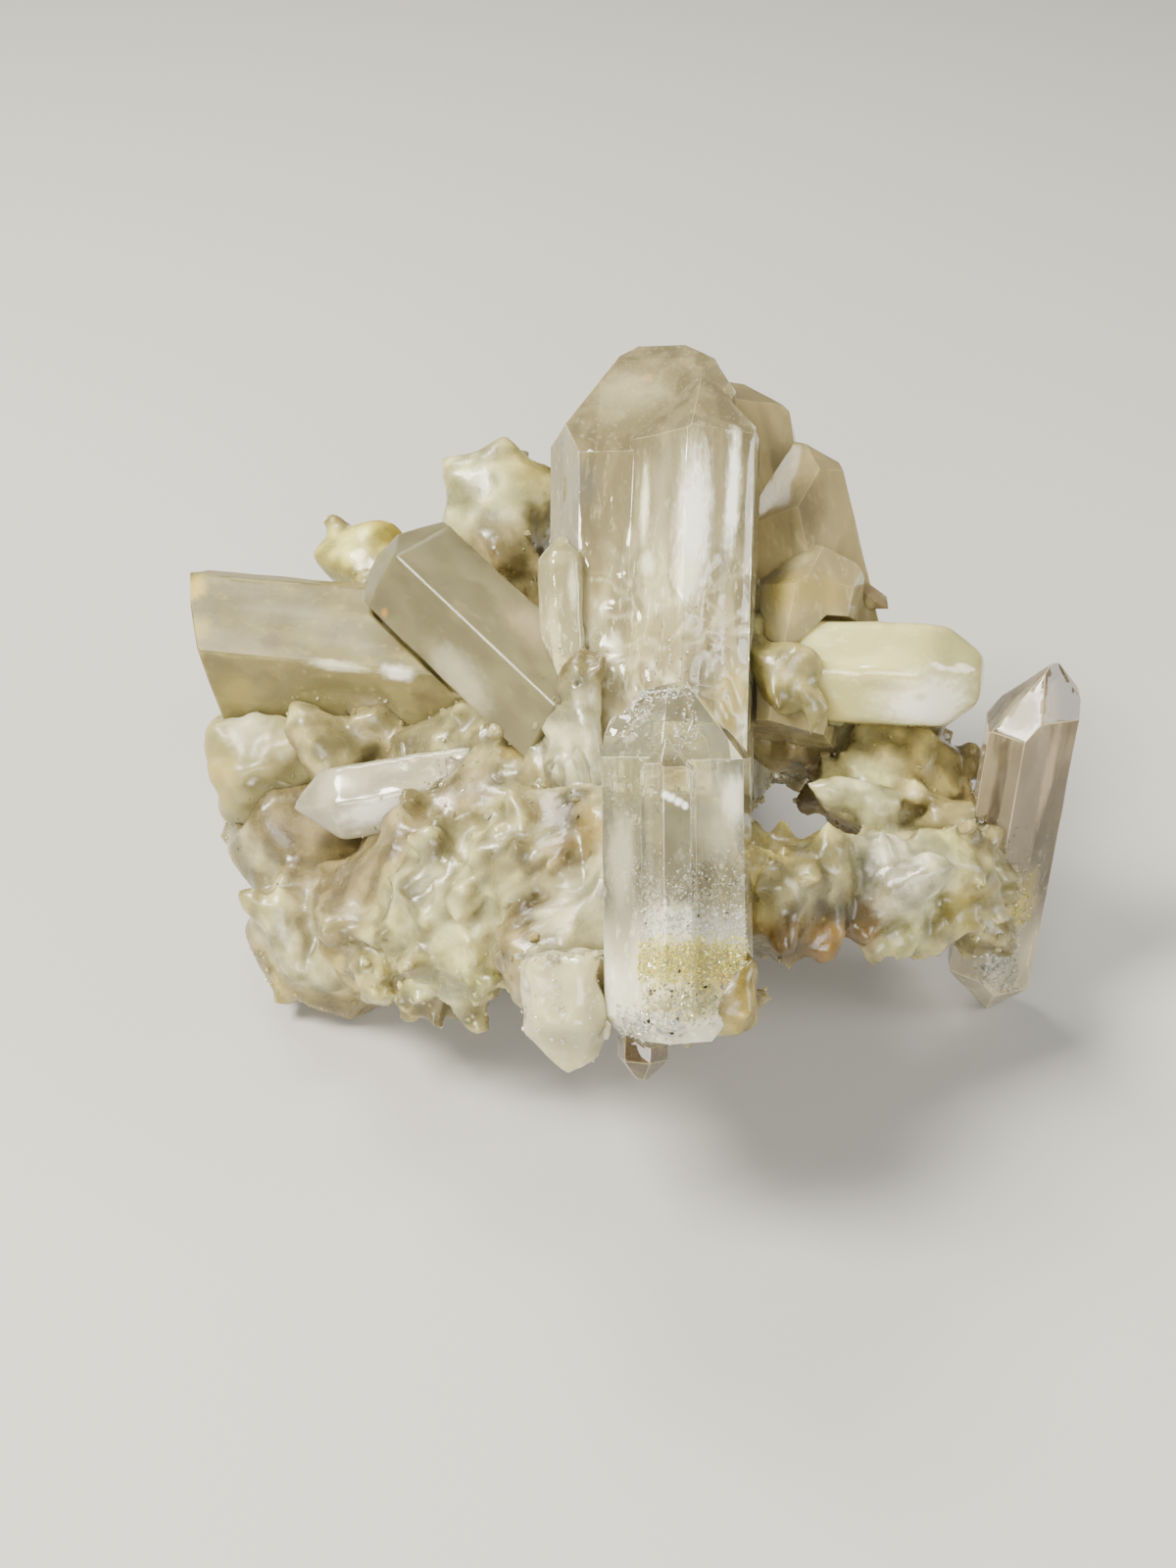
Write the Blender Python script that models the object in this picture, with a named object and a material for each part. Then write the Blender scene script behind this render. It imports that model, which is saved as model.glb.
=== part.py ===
"""A cluster of quartz: large clear and milky crystals seated in a lumpy, yellow-stained crust of small ones.

Metres, +Z up, the front towards -Y, the origin under the middle of the box. Sizes below are in millimetres.
"""

import itertools
import math
import random

import bmesh
import bpy
import numpy as np
from mathutils import Matrix, Vector

MM = 0.001
GAP = 0.3  # round each crystal, where it sits in the crust or next to another
CAP_SLOPE = math.radians(38.2)  # between a cap face of quartz and the long axis of its crystal
FACING = Vector((0.0, -0.81, 0.59))  # the side of a crystal that counts as its front
CAP_PER_SIDE = 1.27  # how much height a cap gains for each millimetre in from a side
SEED = 71

CLEAR = (0.80, 0.76, 0.62, 1.0)
MILKY = (0.84, 0.81, 0.68, 1.0)
BEIGE = (0.66, 0.58, 0.42, 1.0)
OLIVE = (0.50, 0.43, 0.22, 1.0)
SMOKY = (0.48, 0.38, 0.25, 1.0)
CRUST = (0.62, 0.53, 0.34, 1.0)


def clear_scene():
    for obj in list(bpy.data.objects):
        bpy.data.objects.remove(obj, do_unlink=True)


def material(name, color, roughness):
    made = bpy.data.materials.new(name)
    made.use_nodes = True
    made.diffuse_color = color
    shader = made.node_tree.nodes["Principled BSDF"]
    shader.inputs["Base Color"].default_value = color
    shader.inputs["Roughness"].default_value = roughness
    shader.inputs["Metallic"].default_value = 0.0
    return made


# Shapes made of flat cuts. A cut is (outward direction, distance from the origin), and a shape is what lies inside
# all of its cuts, so every face is flat and every shape is convex.


def corners_of(cuts):
    """The corners where three cuts meet inside all the others."""
    normals = np.array([tuple(normal) for normal, _ in cuts])
    offsets = np.array([offset for _, offset in cuts])
    triples = np.array(list(itertools.combinations(range(len(cuts)), 3)))
    frames = normals[triples]
    sound = np.abs(np.linalg.det(frames)) > 1e-3
    points = np.linalg.solve(frames[sound], offsets[triples[sound]][..., None])[..., 0]
    inside = (points @ normals.T <= offsets + 1e-4).all(axis=1)
    return np.unique(np.round(points[inside], 3), axis=0)


def solid_from_cuts(bm, cuts):
    """Adds the convex shape inside these cuts to bm, in millimetres."""
    corners = [bm.verts.new(point) for point in corners_of(cuts)]
    made = bmesh.ops.convex_hull(bm, input=corners)
    loose = [item for item in made["geom_interior"] if isinstance(item, bmesh.types.BMVert)]
    bmesh.ops.delete(bm, geom=loose, context="VERTS")
    flat = {face for corner in corners if corner.is_valid for face in corner.link_faces}
    edges = {edge for face in flat for edge in face.edges}
    bmesh.ops.dissolve_limit(bm, angle_limit=math.radians(0.4), verts=[], edges=list(edges))


def mesh_object(name, cuts, slot=None):
    """One object of this shape."""
    bm = bmesh.new()
    solid_from_cuts(bm, cuts)
    bmesh.ops.recalc_face_normals(bm, faces=bm.faces[:])
    bmesh.ops.scale(bm, vec=(MM, MM, MM), verts=bm.verts[:])
    mesh = bpy.data.meshes.new(name)
    bm.to_mesh(mesh)
    bm.free()
    obj = bpy.data.objects.new(name, mesh)
    bpy.context.scene.collection.objects.link(obj)
    if slot:
        mesh.materials.append(slot)
    return obj


def axes_of(root, tip):
    """Along the crystal, towards its front, and towards its right."""
    along = (tip - root).normalized()
    front = FACING - along * FACING.dot(along)
    if front.length < 0.05:
        front = Vector((0.0, 0.0, 1.0)) - along * along.z
    front.normalize()
    return along, front, along.cross(front)


class Crystal:
    """A six-sided crystal. sides and caps go round from the front by the right: the distance of each side from the
    axis, and how far below the tip each cap face starts on its side. foot is how far above the root the lower cap
    starts, or None for a flat root. chips are more cuts, as (along, front, right, distance from the tip)."""

    def __init__(self, root, tip, sides, caps, turn=0.0, foot=None, chips=()):
        self.root = Vector(root)
        self.tip = Vector(tip)
        self.sides = sides
        self.caps = caps
        self.turn = turn
        self.foot = foot
        self.chips = chips

    def cuts(self, grown=0.0):
        along, front, right = axes_of(self.root, self.tip)
        found = [(-along, -along.dot(self.root) + grown)]
        for number, (side, cap) in enumerate(zip(self.sides, self.caps)):
            angle = math.radians(self.turn + 60.0 * number)
            outward = front * math.cos(angle) + right * math.sin(angle)
            found.append((outward, outward.dot(self.tip) + side + grown))
            slope = outward * math.cos(CAP_SLOPE) + along * math.sin(CAP_SLOPE)
            corner = self.tip - along * cap + outward * side
            found.append((slope, slope.dot(corner) + grown))
            if self.foot is not None:
                slope = outward * math.cos(CAP_SLOPE) - along * math.sin(CAP_SLOPE)
                corner = self.root + along * self.foot[number] + outward * side
                found.append((slope, slope.dot(corner) + grown))
        for up, ahead, across, distance in self.chips:
            slope = (along * up + front * ahead + right * across).normalized()
            found.append((slope, slope.dot(self.tip) + distance + grown))
        return found


# The large crystals.


def even(side, count=6):
    return [side] * count


def full_caps(sides, lower=0.0):
    return [CAP_PER_SIDE * side + lower for side in sides]


SPIRE_BACK = Crystal(
    root=(2.4, -8.0, 19.0),
    tip=(2.7, 17.4, 44.4),
    sides=[4.7, 5.7, 5.2, 5.0, 5.8, 5.9],
    caps=[12.6, 6.6, 3.6, 3.6, 5.8, 9.0],
    turn=-8.0,
    chips=[(1.0, 0.1, 0.0, -1.9), (0.565, 0.15, -0.825, -0.55)],
)
SPIRE_FRONT = Crystal(
    root=(4.7, -11.0, 20.1),
    tip=(5.8, 10.6, 41.6),
    sides=[4.2, 4.5, 4.4, 4.2, 3.9, 3.9],
    caps=[4.9, 4.2, 4.2, 4.9, 5.1, 5.2],
    turn=20.0,
)
REAR_FAR = Crystal(
    root=(11.6, 3.0, 23.0),
    tip=(9.5, 24.0, 35.6),
    sides=[4.0, 4.0, 4.2, 4.2, 4.2, 4.2],
    caps=[5.0, 5.5, 5.1, 5.0, 5.0, 5.0],
    turn=20.0,
    chips=[(1.0, 0.2, 0.1, -1.2)],
)
REAR_NEAR = Crystal(
    root=(15.7, -1.0, 21.5),
    tip=(10.9, 18.6, 37.8),
    sides=[3.9, 4.3, 4.0, 4.2, 4.2, 3.8],
    caps=[9.0, 8.0, 5.0, 5.0, 5.0, 12.0],
    turn=32.0,
)
OLIVE_ONE = Crystal(
    root=(11.6, -4.4, 22.0),
    tip=(14.7, 5.6, 32.2),
    sides=[3.7, 3.6, 3.4, 3.4, 3.8, 3.6],
    caps=[4.2, 2.6, 4.0, 4.0, 5.4, 5.0],
    turn=12.0,
    chips=[(1.0, 0.1, 0.3, -1.0)],
)
LATERAL = Crystal(
    root=(12.4, -1.2, 24.9),
    tip=(26.2, -4.4, 26.4),
    sides=[3.8, 3.3, 3.6, 3.6, 3.6, 3.9],
    caps=[4.8, 3.4, 3.2, 3.2, 3.4, 4.4],
    turn=30.0,
    chips=[(1.0, 0.0, 0.1, -1.0), (1.0, -0.2, 1.0, 0.9)],
)
FAR_RIGHT = Crystal(
    root=(27.8, -8.0, -0.4),
    tip=(29.3, -4.2, 27.2),
    sides=[2.6, 2.7, 2.7, 2.6, 3.2, 3.5],
    caps=[2.8, 1.8, 2.0, 3.0, 4.2, 4.0],
    turn=24.0,
    foot=[3.3, 3.3, 3.3, 3.1, 4.4, 4.6],
)
FRONT = Crystal(
    root=(4.1, -29.0, 16.8),
    tip=(3.8, -16.9, 34.9),
    sides=[4.2, 4.2, 4.2, 4.0, 4.2, 4.4],
    caps=[5.0, 5.0, 4.6, 4.4, 3.6, 4.8],
    turn=20.0,
    chips=[(1.0, 0.25, -0.15, -0.6)],
    foot=[1.6, 2.6, 2.0, 1.0, 1.4, 1.6],
)
FRONT_INNER = Crystal(
    root=(3.4, -31.6, 20.4),
    tip=(3.2, -22.4, 33.8),
    sides=[1.7, 1.5, 1.5, 2.5, 1.5, 1.6],
    caps=[1.4, 1.6, 1.6, 1.6, 1.6, 1.2],
    turn=14.0,
)
FRONT_WHITE = Crystal(
    root=(-2.6, -26.4, 21.0),
    tip=(-2.4, -31.2, 15.2),
    sides=[2.4, 2.8, 2.6, 2.4, 2.6, 2.6],
    caps=[3.4, 3.0, 3.4, 3.6, 3.0, 3.2],
    turn=10.0,
)
LOWER_TIP = Crystal(
    root=(1.9, -28.4, 20.0),
    tip=(1.7, -31.4, 14.9),
    sides=even(1.35),
    caps=full_caps(even(1.35)),
    turn=15.0,
    chips=[(1.0, 0.1, 0.2, -0.4)],
)
LEFT_BLOCK = Crystal(
    root=(-8.0, 6.0, 20.6),
    tip=(-32.9, 10.6, 20.4),
    sides=[5.4, 5.2, 5.0, 5.4, 5.4, 5.6],
    caps=[3.0, 1.5, 1.5, 2.5, 4.5, 4.5],
    turn=22.0,
    chips=[(1.0, 0.1, -0.35, -3.1)],
)
LEANING = Crystal(
    root=(-2.3, -5.4, 23.4),
    tip=(-16.9, 9.7, 29.7),
    sides=[4.0, 4.0, 4.0, 4.0, 4.0, 4.1],
    caps=[5.2, 4.0, 3.6, 3.6, 4.0, 5.0],
    turn=30.0,
    chips=[(1.0, 0.8, -0.16, -1.04), (0.61, 0.0, -0.79, 0.95), (0.79, 0.0, 0.61, -0.73)],
)
LEFT_LOW = Crystal(
    root=(-9.0, -4.6, 18.3),
    tip=(-22.4, -5.0, 15.9),
    sides=[2.6, 2.5, 2.6, 2.6, 2.6, 2.6],
    caps=[3.6, 2.6, 2.6, 3.0, 3.4, 3.6],
    turn=26.0,
)
LEFT_CHUNK = Crystal(
    root=(-17.0, 7.0, 17.5),
    tip=(-30.4, 2.0, 12.0),
    sides=[4.5, 4.3, 4.4, 4.4, 4.2, 4.4],
    caps=[3.8, 3.2, 3.4, 3.6, 3.0, 3.6],
    turn=18.0,
    chips=[(1.0, 0.1, 0.3, -1.2)],
)
CENTRE = Crystal(
    root=(-2.6, -7.3, 24.3),
    tip=(-3.35, 1.9, 34.5),
    sides=[1.7, 1.6, 1.6, 1.6, 1.6, 1.6],
    caps=[2.4, 2.0, 1.8, 2.0, 2.0, 2.2],
    turn=5.0,
)

# Name, the crystals that are joined in it, colour. A crystal gives way to those listed before it.
LARGE = [
    ("main_spire", [SPIRE_BACK, SPIRE_FRONT], "clear_quartz"),
    ("front_crystal", [FRONT, FRONT_INNER], "clear_quartz"),
    ("far_right_crystal", [FAR_RIGHT], "pink_tinted_quartz"),
    ("lateral_crystal", [LATERAL], "milky_quartz"),
    ("rear_right_crystals", [REAR_FAR, REAR_NEAR, OLIVE_ONE], "olive_quartz"),
    ("leaning_crystal", [LEANING], "beige_quartz"),
    ("left_block", [LEFT_BLOCK], "beige_quartz"),
    ("left_low_crystal", [LEFT_LOW], "milky_quartz"),
    ("left_chunk", [LEFT_CHUNK], "milky_quartz"),
    ("front_white_crystal", [FRONT_WHITE], "milky_quartz"),
    ("lower_tip", [LOWER_TIP], "smoky_quartz"),
    ("centre_crystal", [CENTRE], "clear_quartz"),
]


# The crust: lumps, and small crystals on them.

# Middle, and half size along x, y and z.
LUMPS = [
    ((-20.0, -5.0, 5.0), (7.0, 7.0, 5.5)),
    ((-22.5, 2.0, 9.0), (6.0, 7.0, 6.0)),
    ((-14.0, -9.0, 10.0), (7.0, 7.0, 6.0)),
    ((-9.0, -14.0, 14.5), (6.0, 6.5, 5.5)),
    ((-3.0, -16.0, 18.0), (6.0, 6.5, 6.0)),
    ((-8.0, -4.0, 15.5), (9.0, 9.0, 7.0)),
    ((0.0, -5.0, 17.5), (9.0, 8.5, 7.5)),
    ((-16.0, 8.0, 12.0), (9.0, 9.0, 8.0)),
    ((-5.0, 8.0, 14.0), (10.0, 10.0, 9.0)),
    ((5.0, 10.0, 13.0), (8.5, 10.0, 9.0)),
    ((2.0, 20.0, 7.0), (9.0, 7.5, 8.0)),
    ((-9.0, 20.0, 11.0), (9.0, 8.0, 8.0)),
    ((13.0, 3.0, 20.5), (6.0, 6.0, 5.5)),
    ((13.0, 12.0, 15.0), (7.0, 7.0, 8.0)),
    ((20.0, -3.5, 17.0), (5.5, 5.0, 5.0)),
    ((25.0, -7.5, 12.0), (4.6, 4.2, 5.5)),
    ((21.0, -12.5, 15.5), (4.5, 4.0, 3.5)),
    ((16.5, -16.0, 17.8), (4.5, 3.8, 3.2)),
    ((11.0, -19.0, 19.5), (4.5, 4.0, 3.5)),
    ((3.5, -18.0, 20.5), (6.0, 6.0, 6.0)),
    ((26.5, -8.0, 8.5), (3.0, 3.0, 4.0)),
    ((-17.0, 5.0, 16.0), (6.0, 5.5, 5.0)),
    ((-18.6, 18.5, 22.5), (3.6, 3.4, 3.2)),
    ((-14.0, 14.0, 19.0), (5.0, 6.0, 5.0)),
    ((-8.6, 17.5, 26.5), (4.2, 3.4, 4.4)),
    ((-8.0, 16.0, 20.5), (4.6, 5.0, 5.5)),
    ((5.0, -26.6, 18.6), (4.8, 3.4, 2.4)),
    ((6.7, -25.4, 17.7), (2.5, 3.0, 3.4)),
    ((-2.8, -23.6, 18.2), (4.2, 4.0, 4.2)),
    ((12.0, -2.0, 24.6), (3.4, 3.2, 4.0)),
]


# Root, tip and side of the small crystals that the photo shows one by one. All are grown into the crust.
SPRIGS = [
    ((-19.0, 18.5, 22.5), (-23.9, 18.7, 23.4), 1.9),
    ((-17.8, 18.5, 22.5), (-16.9, 20.8, 26.6), 2.1),
    ((-20.0, 18.0, 21.5), (-21.8, 20.6, 25.4), 1.6),
    ((-9.0, 18.5, 28.0), (-13.0, 20.4, 31.4), 2.1),
    ((-9.0, 17.5, 26.0), (-12.9, 17.6, 27.5), 1.6),
    ((-8.0, 17.5, 27.0), (-7.4, 21.0, 32.4), 2.7),
    ((-6.4, 17.0, 27.0), (-4.4, 20.2, 31.0), 1.8),
    ((-7.0, 16.0, 24.0), (-9.4, 12.0, 27.6), 1.7),
    ((-2.4, -10.6, 22.0), (-2.2, -4.2, 29.9), 1.9),
    ((17.0, 2.5, 22.0), (19.8, 4.4, 27.6), 1.0),
    ((18.8, -4.2, 16.9), (13.8, -5.6, 18.7), 1.5),
    ((20.0, -7.5, 17.5), (16.4, -9.8, 20.3), 1.3),
    ((24.6, -14.0, 17.6), (17.9, -16.4, 21.0), 1.9),
    ((23.0, -8.0, 15.0), (25.4, -13.0, 17.0), 1.7),
    ((13.5, -18.5, 19.5), (13.1, -22.2, 16.5), 1.5),
    ((25.0, -14.0, 16.2), (18.5, -19.2, 14.4), 1.6),
    ((10.5, -20.5, 20.5), (10.5, -24.3, 18.7), 1.8),
    ((25.0, -9.0, 12.0), (23.2, -12.4, 9.4), 1.6),
    ((16.5, -15.5, 18.0), (16.8, -19.6, 15.8), 1.2),
    ((11.0, -2.0, 24.6), (17.5, -6.8, 22.4), 2.5),
    ((13.9, -18.6, 19.4), (13.8, -15.2, 23.0), 1.9),
    ((-18.8, -0.2, 15.2), (-23.6, 2.9, 20.6), 2.3),
]

# Which lumps carry a scatter of small crystals, how many to try on each, and their usual length.
SCATTER = [
    (0, 24, 3.0),
    (1, 14, 3.0),
    (2, 24, 3.0),
    (3, 22, 2.8),
    (4, 16, 2.6),
    (5, 12, 2.6),
    (6, 12, 2.6),
    (7, 8, 3.4),
    (8, 5, 3.6),
    (9, 7, 3.6),
    (10, 9, 3.4),
    (11, 9, 3.4),
    (12, 8, 2.6),
    (13, 8, 3.4),
    (14, 16, 2.6),
    (15, 14, 2.6),
    (16, 12, 2.2),
    (17, 12, 2.2),
    (18, 10, 2.2),
    (20, 8, 2.2),
]
OPEN_WAY = (Vector((12.5, -9.8, 23.0)), Vector((12.5, -5.0, 12.0)), 4.6)  # the hole, kept free from end to end
CRUST_END = (Vector((-0.805, -0.472, -0.36)), 20.4)  # the broken left end of the crust, which nothing grows past
FLOOR = (Vector((0.0, 0.0, -1.0)), 0.0)


def lump_cuts(middle, half, rng, count=16):
    """A boulder with flat faces, about as large as the ellipsoid of these half sizes."""
    middle = Vector(middle)
    start = rng.uniform(0.0, 6.28)
    found = []
    for number in range(count):
        height = 1.0 - 2.0 * (number + 0.5) / count
        angle = start + number * 2.399963
        ring = math.sqrt(1.0 - height * height)
        way = Vector((ring * math.cos(angle), ring * math.sin(angle), height))
        way += Vector([rng.uniform(-0.2, 0.2) for _ in range(3)])
        way.normalize()
        reach = Vector([way[axis] * half[axis] for axis in range(3)]).length
        found.append((way, way.dot(middle) + reach * rng.uniform(0.82, 0.98)))
    return found


def small_cuts(root, tip, side, rng):
    """A small crystal with uneven sides and caps."""
    sides = [side * rng.uniform(0.82, 1.12) for _ in range(6)]
    caps = [CAP_PER_SIDE * side * rng.uniform(0.6, 1.35) for _ in range(6)]
    return Crystal(root, tip, sides, caps, turn=rng.uniform(0.0, 60.0)).cuts()


def inside(point, cuts, margin=0.0):
    return all(normal.dot(point) < offset + margin for normal, offset in cuts)


def in_open_way(point):
    start, end, radius = OPEN_WAY
    way = end - start
    part = max(0.0, min(1.0, (point - start).dot(way) / way.length_squared))
    return (point - start - way * part).length < radius


def scattered(lumps, large, rng):
    """Small crystals that stand out of the crust where nothing else is in the way."""
    found = []
    for number, tries, length in SCATTER:
        middle, half = LUMPS[number]
        middle = Vector(middle)
        others = lumps[:number] + lumps[number + 1 :]
        for _ in range(tries):
            way = Vector([rng.gauss(0.0, 1.0) for _ in range(3)]).normalized()
            root = middle + Vector([way[axis] * half[axis] * 0.8 for axis in range(3)])
            lean = way + Vector([rng.uniform(-0.5, 0.5) for _ in range(3)])
            reach = length * rng.uniform(0.7, 1.4)
            tip = root + lean.normalized() * reach
            side = reach * rng.uniform(0.24, 0.36)
            if tip.z < side or any(inside(root + (tip - root) * 0.7, cuts, 0.2) for cuts in others):
                continue
            if any(inside(root, cuts, side * 0.5) or inside(tip, cuts, side + 0.6) for cuts in large):
                continue
            if in_open_way(tip) or in_open_way(root) or not inside(tip, [CRUST_END]):
                continue
            found.append(small_cuts(root, tip, side, rng))
    return found


def all_in(name, shapes):
    """A collection of helper objects, one for each shape."""
    made = bpy.data.collections.new(name)
    bpy.context.scene.collection.children.link(made)
    for number, cuts in enumerate(shapes):
        obj = mesh_object(f"{name}_{number}", cuts)
        bpy.context.scene.collection.objects.unlink(obj)
        made.objects.link(obj)
        obj.hide_render = True
        obj.display_type = "WIRE"
    return made


def combine(obj, operation, helpers):
    """Joins these helpers to obj, or cuts them from it, for good."""
    modifier = obj.modifiers.new(operation.lower(), "BOOLEAN")
    modifier.operation = operation
    modifier.operand_type = "COLLECTION"
    modifier.collection = helpers
    modifier.solver = "EXACT"
    graph = bpy.context.evaluated_depsgraph_get()
    result = bpy.data.meshes.new_from_object(obj.evaluated_get(graph))
    obj.modifiers.remove(modifier)
    obj.data = result
    for helper in list(helpers.objects):
        bpy.data.objects.remove(helper, do_unlink=True)
    bpy.data.collections.remove(helpers)


def pieces_of(bm):
    """The faces of each separate shell."""
    left = set(bm.faces)
    found = []
    while left:
        queue = [left.pop()]
        shell = []
        while queue:
            face = queue.pop()
            shell.append(face)
            for edge in face.edges:
                for other in edge.link_faces:
                    if other in left:
                        left.remove(other)
                        queue.append(other)
        found.append(shell)
    return found


def keep_largest(obj):
    """Drops the loose chips that a cut leaves, and any closed bubble inside."""
    bm = bmesh.new()
    bm.from_mesh(obj.data)
    shells = sorted(pieces_of(bm), key=lambda shell: sum(face.calc_area() for face in shell))
    for shell in shells[:-1]:
        bmesh.ops.delete(bm, geom=shell, context="FACES")
    bm.to_mesh(obj.data)
    bm.free()


def large_piece(name, crystals, before, slot):
    obj = mesh_object(name, crystals[0].cuts() + [FLOOR], slot)
    if len(crystals) > 1:
        combine(obj, "UNION", all_in("twin", [each.cuts() + [FLOOR] for each in crystals[1:]]))
    if before:
        combine(obj, "DIFFERENCE", all_in("seat", [each.cuts(GAP) for each in before]))
    keep_largest(obj)
    return obj


def crust(slot, rng):
    large = [crystal for _, crystals, _ in LARGE for crystal in crystals]
    lumps = [lump_cuts(middle, half, rng) for middle, half in LUMPS]
    shapes = [cuts + [FLOOR] for cuts in lumps]
    shapes += [small_cuts(Vector(root), Vector(tip), side, rng) for root, tip, side in SPRIGS]
    shapes += scattered(lumps, [crystal.cuts() for crystal in large], rng)
    obj = mesh_object("matrix", shapes[0], slot)
    combine(obj, "UNION", all_in("grown", shapes[1:]))
    combine(obj, "DIFFERENCE", all_in("seat", [crystal.cuts(GAP) for crystal in large]))
    keep_largest(obj)
    return obj


def stand_on_origin(objects):
    """Puts the middle of the box over the origin and the lowest point on the floor."""
    corners = [obj.matrix_world @ vertex.co for obj in objects for vertex in obj.data.vertices]
    low = Vector([min(corner[axis] for corner in corners) for axis in range(3)])
    high = Vector([max(corner[axis] for corner in corners) for axis in range(3)])
    shift = Vector((-(low.x + high.x) / 2, -(low.y + high.y) / 2, -low.z))
    for obj in objects:
        obj.data.transform(Matrix.Translation(shift))


def build():
    clear_scene()
    slots = {
        "clear_quartz": material("clear_quartz", CLEAR, 0.08),
        "milky_quartz": material("milky_quartz", MILKY, 0.25),
        "beige_quartz": material("beige_quartz", BEIGE, 0.15),
        "olive_quartz": material("olive_quartz", OLIVE, 0.25),
        "smoky_quartz": material("smoky_quartz", SMOKY, 0.15),
        "pink_tinted_quartz": material("pink_tinted_quartz", BEIGE, 0.08),
        "crust": material("crust", CRUST, 0.6),
    }
    before = []
    made = []
    for name, crystals, slot in LARGE:
        made.append(large_piece(name, crystals, before, slots[slot]))
        before += crystals
    made.append(crust(slots["crust"], random.Random(SEED)))
    stand_on_origin(made)


build()
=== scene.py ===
import math
import random

import bmesh
import bpy
import numpy as np
from mathutils import Matrix, Vector, noise
from mathutils.bvhtree import BVHTree


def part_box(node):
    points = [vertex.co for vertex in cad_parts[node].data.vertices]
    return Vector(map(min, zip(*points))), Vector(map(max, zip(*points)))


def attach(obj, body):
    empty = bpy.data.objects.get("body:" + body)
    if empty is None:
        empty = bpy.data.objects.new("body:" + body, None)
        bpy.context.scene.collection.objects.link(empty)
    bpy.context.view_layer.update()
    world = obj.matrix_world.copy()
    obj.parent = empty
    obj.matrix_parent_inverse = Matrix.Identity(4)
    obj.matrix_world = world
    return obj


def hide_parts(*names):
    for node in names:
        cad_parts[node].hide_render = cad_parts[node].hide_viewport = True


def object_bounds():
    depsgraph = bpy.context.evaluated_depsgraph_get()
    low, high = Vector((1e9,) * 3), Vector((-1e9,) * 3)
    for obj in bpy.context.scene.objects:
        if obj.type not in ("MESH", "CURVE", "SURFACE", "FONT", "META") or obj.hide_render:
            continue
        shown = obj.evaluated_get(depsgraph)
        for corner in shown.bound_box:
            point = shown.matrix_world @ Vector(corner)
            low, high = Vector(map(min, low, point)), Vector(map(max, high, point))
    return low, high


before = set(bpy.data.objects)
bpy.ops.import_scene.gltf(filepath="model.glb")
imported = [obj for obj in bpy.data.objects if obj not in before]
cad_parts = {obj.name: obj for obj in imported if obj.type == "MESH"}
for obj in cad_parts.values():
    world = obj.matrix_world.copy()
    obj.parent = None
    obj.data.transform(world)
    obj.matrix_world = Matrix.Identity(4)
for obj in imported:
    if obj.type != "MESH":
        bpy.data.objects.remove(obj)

MM = 0.001
CAD_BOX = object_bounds()
LOW, HIGH = Vector(CAD_BOX[0]), Vector(CAD_BOX[1])
LOW_MM, HIGH_MM = np.array(LOW) / MM, np.array(HIGH) / MM
CRYSTALS = sorted(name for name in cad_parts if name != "matrix")
# How far inside the box of the solids the crust's points are held, in millimetres.
BOX_GAP = 0.02
RANDOM_SEED = 5
QUARTZ_IOR = 1.544

# The camera stands where the photograph was taken from, and looks along +Y and down.
PHOTO_SIZE = (1200, 1600)
EYE = Vector((-2.06, -117.15, 101.0)) * MM
CAMERA_DOWN = math.radians(36.0)
CAMERA_LENS = 46.33
CAMERA_SENSOR = 36.0

# Soft lamps round the cluster: place and size in metres, power in watts, colour.
LAMPS = {
    "key": ((-0.23, -0.09, 0.36), (0.14, 0.14), 4.4, (1.0, 0.96, 0.82)),
    "back": ((-0.14, 0.24, 0.38), (0.18, 0.12), 1.7, (1.0, 0.96, 0.86)),
    "side": ((0.40, -0.11, 0.21), (0.16, 0.26), 1.3, (0.98, 0.99, 0.96)),
    "front": ((-0.06, -0.46, 0.22), (0.30, 0.20), 2.3, (1.0, 0.98, 0.90)),
}
LAMP_TARGET = Vector((0.0, 0.0, 0.02))
# The sky's light, and the floor: half its width and how far it lies under the feet, in metres.
SKY_COLOR = (0.86, 0.88, 0.90, 1.0)
SKY_POWER = 0.12
FLOOR_REACH = 3.0
FLOOR_DROP = 0.02 * MM
FLOOR_COLOR = (0.52, 0.51, 0.49, 1.0)
FLOOR_ROUGHNESS = 0.75


# Camera, light and floor.


def put(obj):
    bpy.context.scene.collection.objects.link(obj)
    return obj


def make_camera():
    data = bpy.data.cameras.new("camera")
    data.lens = CAMERA_LENS
    data.sensor_width = CAMERA_SENSOR
    data.clip_start = 0.005
    data.clip_end = 20.0
    camera = put(bpy.data.objects.new("camera", data))
    camera.location = EYE
    camera.rotation_euler = (math.radians(90.0) - CAMERA_DOWN, 0.0, 0.0)
    bpy.context.scene.camera = camera


def make_softbox(name, place, size, power, color):
    data = bpy.data.lights.new(name, "AREA")
    data.shape = "RECTANGLE"
    data.size, data.size_y = size
    data.energy = power
    data.color = color
    light = put(bpy.data.objects.new(name, data))
    light.location = place
    light.rotation_euler = (LAMP_TARGET - Vector(place)).to_track_quat("-Z", "Y").to_euler()


def make_light():
    for name, lamp in LAMPS.items():
        make_softbox(name, *lamp)
    world = bpy.data.worlds.new("studio")
    world.use_nodes = True
    sky = world.node_tree.nodes["Background"]
    sky.inputs["Color"].default_value = SKY_COLOR
    sky.inputs["Strength"].default_value = SKY_POWER
    bpy.context.scene.world = world


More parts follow.
